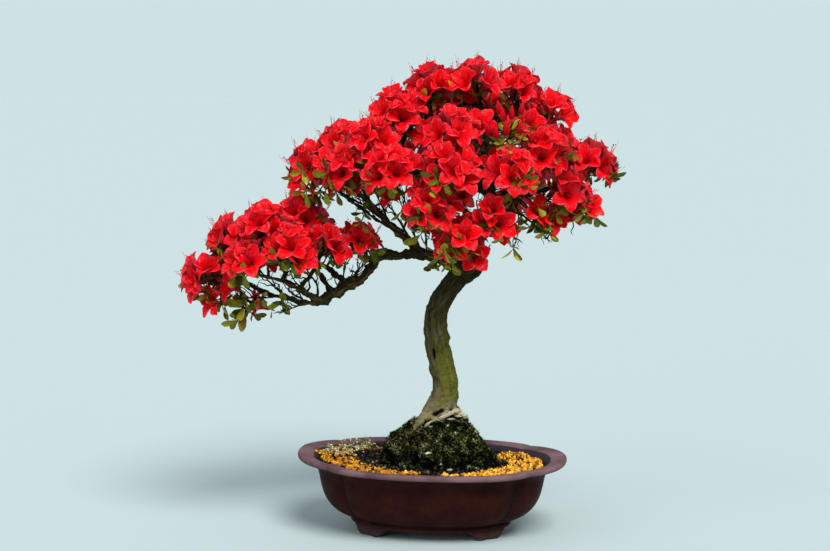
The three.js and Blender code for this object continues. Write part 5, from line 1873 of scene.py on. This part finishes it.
def shootLeaves():
    form = shootForm
    leaves, stems = [], []
    for index, shoot in enumerate(shoots):
        draw = seededDraw(index + 301)
        isLarge = shoot[3] > form["large"]
        centre = inPot(shoot)
        root = nearestWood(centre, 0)[0]
        arch = (0, 0, form["arch"] * norm(root - centre))
        middle = root + (centre - root) * form["middle"] + arch
        axis = unit(centre - middle)
        line = sampled(np.array([root, middle, centre]), form["steps"])
        stems.append(tapered(line, *form["radii"]))
        count = form["leaves"] if isLarge else form["fewLeaves"]
        leaves += whorl(centre, axis, count, shoot[3] / form["size"], draw, shootWhorl)
        for _ in range(form["sideShoots"] if isLarge else 0):
            away = unit(axis + jitter(draw) * sideShoot["stray"])
            foot = centre - axis * sideShoot["down"]
            tip = foot + away * pick(draw, *sideShoot["reach"])
            stems.append(crookedLimb(foot, tip, draw, sideShoot))
            size = sideShoot["size"] * shoot[3] / form["size"]
            leaves += whorl(tip, away, sideShoot["leaves"], size, draw, shootWhorl)
    return leaves, stems


def footLeaves(blooms):
    leaves = []
    for number, place in enumerate(blooms):
        draw = seededDraw(number + 1501)
        axis = place["axis"]
        if draw() > (bloomFoot["share"] if axis[2] < bloomFoot["level"] else bloomFoot["upShare"]):
            continue
        foot = place["at"] - axis * pick(draw, *bloomFoot["down"])
        count = bloomFoot["leaves"] + int(draw() * 2)
        leaves += whorl(foot, axis, count, pick(draw, *bloomFoot["size"]), draw, bloomWhorl)
    return leaves, []


def bunchLeaves():
    leaves, stems = [], []
    form = bunchStem
    for index, bunch in enumerate(bunches):
        draw = seededDraw(index + 2101)
        outward = outwardOf(index)
        isLow = bunch[2] < form["lowLeft" if bunch[0] < crownHearts["split"] else "lowRight"]
        for _ in range(form["lowCount"] if isLow else form["count"]):
            stray = np.array([sway(draw), sway(draw), pick(draw, *form["down"])])
            away = unit(stray * form["stray"] + outward * form["outward"])
            tip = bunchAt[index] + away * bunch[3] * pick(draw, *form["reach"])
            stems.append(crookedLimb(bunchAt[index], tip, draw, form))
            count = form["leaves"] + int(draw() * 2)
            leaves += whorl(tip, away, count, pick(draw, *form["size"]), draw, bunchWhorl)
    return leaves, stems


def leafPlaces(blooms):
    groups = [sprigLeaves(), shootLeaves(), footLeaves(blooms), bunchLeaves()]
    return [one for leaves, _ in groups for one in leaves], [one for _, stems in groups for one in stems]


# Closed buds: where each group stands, how many are drawn there, and how wide they stray
budGroups = [
    {"at": (86, -78, 496), "count": 0, "spread": 20, "seed": 1, "size": 0.95, "places": [
        (76, -100, 524), (86, -98, 527), (69, -100, 504), (61, -98, 507), (104, -96, 522), (95, -100, 510),
        (109, -94, 500), (80, -102, 508), (97, -92, 532), (72, -90, 532)]},
    {"at": (-60, -60, 500), "count": 3, "spread": 16, "seed": 3},
    {"at": (150, -40, 492), "count": 4, "spread": 14, "seed": 4},
    {"at": (-200, -40, 384), "count": 3, "spread": 16, "seed": 5},
    {"at": (60, 80, 490), "count": 6, "spread": 22, "seed": 6},
]
budForm = {
    "drop": 10, "outward": 0.5, "upward": (0, -4, 16), "fork": (0, 0, 14), "foot": 9, "bend": 0.1,
    "steps": 4, "radii": (1.0, 0.6), "stemRadii": (2.0, 1.0), "spin": 6, "size": 0.8, "sizes": (0.85, 0.25),
    "shapes": 3,
}


def budPlaces():
    form = budForm
    buds, stems = [], []
    for group in budGroups:
        draw = seededDraw(group["seed"] + 50)
        centre = inPot(group["at"])
        root = nearestWood(centre, form["drop"])[0]
        fork = centre - form["fork"]
        places = [inPot(place) for place in group.get("places", [])]
        for _ in range(group["count"]):
            places.append(centre + jitter(draw) * 2 * group["spread"])
        for at in places:
            axis = unit((at - centre) * form["outward"] + form["upward"])
            stems.append(crookedLimb(fork, at - axis * form["foot"], draw, form))
            buds.append({"at": at, "turn": bloomTurn(axis, draw() * form["spin"]),
                         "grow": group.get("size", form["size"]) * pick(draw, *form["sizes"]),
                         "kind": int(draw() * form["shapes"]), "tint": draw()})
        stems.append(tapered(crooked(root, fork, draw, form["bend"]), *form["stemRadii"]))
    return buds, stems


# Chips of pale root and stone at the foot of the trunk and on the beds: place, size and tint
chips = [
    ((26, -26, 158), (8, 4, 2.6), 0.9), ((36, -19, 157), (6, 5, 3), 1.0),
    ((30, -27, 154), (4.4, 3, 2), 0.7), ((40, -21, 153), (4, 3.4, 2.4), 0.8),
    ((8, -34, 150), (7, 2.4, 1.5), 0.55), ((18, -34, 152), (6, 2.4, 1.6), 0.6),
    ((40, -24, 150), (3, 3, 2), 0.5), ((-4, -38, 144), (3.4, 2, 1.4), 0.4),
    ((-6, -58, 112), (8.5, 2.8, 2.2), 1.0), ((-14, -58, 108), (4, 1.6, 1.4), 0.7),
    ((4, -60, 97), (3, 2.4, 2), 0.8), ((-132, 44, 90), (6, 4, 3), 0.5), ((-108, 62, 89), (7, 4, 3), 0.55),
    ((-116, 24, 90), (5, 4, 3), 0.35), ((56, -72, 90), (3, 3, 2.4), 0.5), ((30, -78, 90), (3, 2.4, 2), 0.7),
    ((-30, -70, 90), (4, 2.4, 2), 0.45), ((-60, -52, 90), (3, 2.4, 2), 0.4),
    ((84, -24, 90), (3, 3, 2), 0.5), ((86, 8, 90), (3.4, 2.6, 2), 0.4), ((-122, 54, 92), (5, 3, 2), 0.85),
    ((-114, 50, 92), (4, 3.4, 2), 1.0), ((-98, 66, 92), (6, 3, 2.4), 0.9), ((-90, 58, 92), (4, 3, 2), 0.75),
    ((-80, 62, 92), (6, 3.4, 2.2), 0.8), ((-126, 38, 92), (3.4, 3, 2), 0.9),
]
chipForm = {"onMound": 6, "sunk": 0.3, "lift": 1.5, "roughness": 0.4, "turn": 1.3}


def chipPieces(material, groundMesh):
    # Each chip is set down on the nearest spot of the mound, or on the soil
    ground = bvhtree.BVHTree.FromPolygons([v.co for v in groundMesh.vertices],
                                          [face.vertices for face in groundMesh.polygons])
    points, faces, tints = [], [], []
    for number, (place, size, tint) in enumerate(chips):
        at = inPot(place)
        level = soilTop(at[0])
        near, outward, _, _ = ground.find_nearest(Vector((at + potShift) * mm))
        if near.z / mm > level + chipForm["onMound"]:
            at = np.array(near + outward * size[2] * chipForm["sunk"] * mm) / mm - potShift
        else:
            at = np.array([at[0], at[1], level + chipForm["lift"]])
        shape, quads, _ = grainShape(number + 3, chipForm["roughness"])
        turn = np.array(Matrix.Rotation(number * chipForm["turn"], 3, "Z"))
        first = len(points)
        points += list((shape * size) @ turn.T + at)
        faces += [tuple(first + corner for corner in quad) for quad in quads]
        tints += [tint] * len(shape)
    return meshPiece("paleChips", points, faces, material, {"tint": np.array(tints)})


# Camera: place in the tree's frame, angles in degrees, focal length and image width in pixels
view = {
    "place": (-25.7, -2200, 563), "pitch": 6.173, "roll": 1.0, "focal": 1761, "imageWidth": 830,
    "sensor": 36, "far": 60,
}
# Suns: where they stand, strength, colour and how wide they are in degrees
stage = {
    "floor": (0.3935, 0.48, 0.492, 1), "roughness": 0.85, "specular": 0.2, "half": 60000,
    "backdrop": (0.62, 0.76, 0.78, 1), "sky": (0.86, 0.95, 1.0, 1), "skyStrength": 0.56,
    "key": ((0.3, -0.75, 1.0), 3.9, (1.0, 0.97, 0.93), 30),
    "fill": ((-0.9, -0.9, 0.6), 1.0, (0.95, 0.97, 1.0), 50),
}


def makeCamera():
    camera = bpy.data.cameras.new("camera")
    camera.sensor_fit = "HORIZONTAL"
    camera.sensor_width = view["sensor"]
    camera.lens = view["focal"] * camera.sensor_width / view["imageWidth"]
    camera.clip_end = view["far"]
    holder = newObject("camera", camera)
    place = (inPot(view["place"]) + potShift) * mm
    pitch = Matrix.Rotation(math.radians(90 - view["pitch"]), 4, "X")
    roll = Matrix.Rotation(math.radians(view["roll"]), 4, "Z")
    turn = Matrix.Rotation(treeTurn, 4, "Z") @ pitch @ roll
    holder.matrix_world = Matrix.Translation(place) @ turn
    bpy.context.scene.camera = holder


def softSun(name):
    towards, strength, colour, spread = stage[name]
    light = bpy.data.lights.new(name, "SUN")
    light.energy = strength
    light.color = colour
    light.angle = math.radians(spread)
    holder = newObject(name, light)
    holder.rotation_euler = Vector(inPot(towards)).to_track_quat("Z", "Y").to_euler()


def makeFloor():
    material, _, shader = startMaterial(
        "paleFloor", Roughness=stage["roughness"], Specular_IOR_Level=stage["specular"])
    shader.inputs["Base Color"].default_value = stage["floor"]
    half = stage["half"]
    corners = [(-half, -half, 0), (half, -half, 0), (half, half, 0), (-half, half, 0)]
    floor = meshPiece("floor", corners, [(0, 1, 2, 3)], material)


def makeStage():
    # The camera sees the backdrop where the light comes from the sky
    scene = bpy.context.scene
    scene.view_settings.view_transform = "Standard"
    scene.view_settings.look = "None"
    scene.view_settings.exposure = 0
    makeFloor()
    world = bpy.data.worlds.new("studio")
    world.use_nodes = True
    scene.world = world
    tree = world.node_tree
    seen = addNode(tree, "ShaderNodeLightPath").outputs["Is Camera Ray"]
    backdrop = addNode(tree, "ShaderNodeBackground", {0: stage["backdrop"], 1: 1.0})
    sky = tree.nodes["Background"]
    sky.inputs[0].default_value = stage["sky"]
    sky.inputs[1].default_value = stage["skyStrength"]
    both = addNode(tree, "ShaderNodeMixShader", {0: seen, 1: sky.outputs[0], 2: backdrop.outputs[0]})
    tree.links.new(both.outputs[0], tree.nodes["World Output"].inputs[0])
    softSun("key")
    softSun("fill")


makeCamera()
makeStage()
print("stage, light and camera set")

clay, barkSkin, mossSkin, petalSkin = clayMaterial(), barkMaterial(), mossMaterial(), petalMaterial()
stamenSkin, budSkin = stalkMaterial("stamen", stamenLook), stalkMaterial("bud", budLook)
pelletSkin, crumbSkin = groundMaterial("orangePellet"), groundMaterial("darkCrumb")
chipSkin, drySkin = groundMaterial("paleChip"), groundMaterial("dryMossStrand")
leafSkin, screenSkin = leafMaterial(), screenMaterial()
print("materials made")

finishPiece(potPiece(clay), "clay", "pot")
for screenNode in ("drain_screen_left", "drain_screen_right"):
    holder = frame["nodes"][screenNode]
    holder.data.materials.clear()
    holder.data.materials.append(screenSkin)
finishPiece(soilPiece(soilMaterial()), "soil", "soil")
moss = moundPiece(mossSkin)
tufts = tuftPiece(moss.data, mossSkin)
finishPiece(moss, "moss", "moss_mound")
finishPiece(tufts, "moss")
grains = [grainShape(seed, stone["roughness"]) for seed in range(1, 6)]
for sideName in ("left", "right"):
    places = pelletPlaces(pellets[sideName])
    bed = scattered(f"pellets{sideName.title()}", grains, places, pelletSkin)
    finishPiece(bed, "pellet", f"pellet_bed_{sideName}")
finishPiece(scattered("soilCrumbs", grains, crumbPlaces(), crumbSkin), "soil")
finishPiece(scattered("soilMoss", tuftShape(), strayTufts(), mossSkin), "moss")
finishPiece(scattered("dryMoss", [*tuftShape(), grains[0], grains[3]], dryTufts(), drySkin), "moss")
finishPiece(chipPieces(chipSkin, moss.data), "soil")
print("pot, soil, moss and pellets made")

finishPiece(woodPiece(barkSkin), "bark", "wood")
blooms = bloomPlaces()
leaves, leafStems = leafPlaces(blooms)
buds, budStems = budPlaces()
twigs = twigLimbs(blooms) + fanLimbs() + bareTwigs() + leafStems + budStems
twigWood = sweptLimbs("twigs", twigs, barkSkin, twig["sides"])
storeValues(twigWood.data, {"flow": np.array([one.co[:] for one in twigWood.data.vertices])})
finishPiece(twigWood, "bark")
print("wood made;", len(blooms), "blooms", len(leaves), "leaves", len(buds), "buds")

# Blooms on the low branch keep to the upper tints: the least, and what their own tint adds
lowTint = (0.45, 0.55)
shapes = [bloomShape(form) for form in bloomShapes + uprightShapes]
spots = []
for number, place in enumerate(blooms):
    kind = (number * 5 + place["bunch"]) % len(bloomShapes)
    if place["isUpright"]:
        kind = len(bloomShapes) + number % len(uprightShapes)
    tint = place["tint"]
    if isLowBunch(bunches[place["bunch"]]):
        tint = lowTint[0] + lowTint[1] * tint
    spots.append({"at": place["at"], "turn": bloomTurn(place["axis"], place["spin"]), "tint": tint,
                  "grow": place["size"] / bloomRadius, "kind": kind, "bunch": place["bunch"]})
bloomGroups = {
    "bloomsTop": range(0, 9), "bloomsFront": range(9, 19), "bloomsLow": [*range(19, 27), 39, 40, 41],
    "bloomsBack": range(27, 39),
}
for groupName, members in bloomGroups.items():
    mine = [spot for spot in spots if spot["bunch"] in members]
    nodes = [f"bloom_bunch_{member + 1:02d}" for member in members]
    finishPiece(scattered(groupName, shapes, mine, petalSkin), "petal", *nodes)
stamens = [stamenShape(seed) for seed in range(stamen["shapes"])]
finishPiece(scattered("stamens", stamens, spots, stamenSkin), "petal")
finishPiece(scattered("calyxes", [calyxShape()], spots, budSkin), "leaf")
budShapes = [budShape(seed) for seed in range(budForm["shapes"])]
finishPiece(scattered("buds", budShapes, buds, budSkin), "petal")
leafNodes = [f"leafy_shoot_{number + 1}" for number in range(len(shoots))]
leafShapes = [leafShape(seed) for seed in range(leaf["shapes"])]
finishPiece(scattered("leaves", leafShapes, leaves, leafSkin), "leaf", *leafNodes)
print("blooms, buds and leaves made")
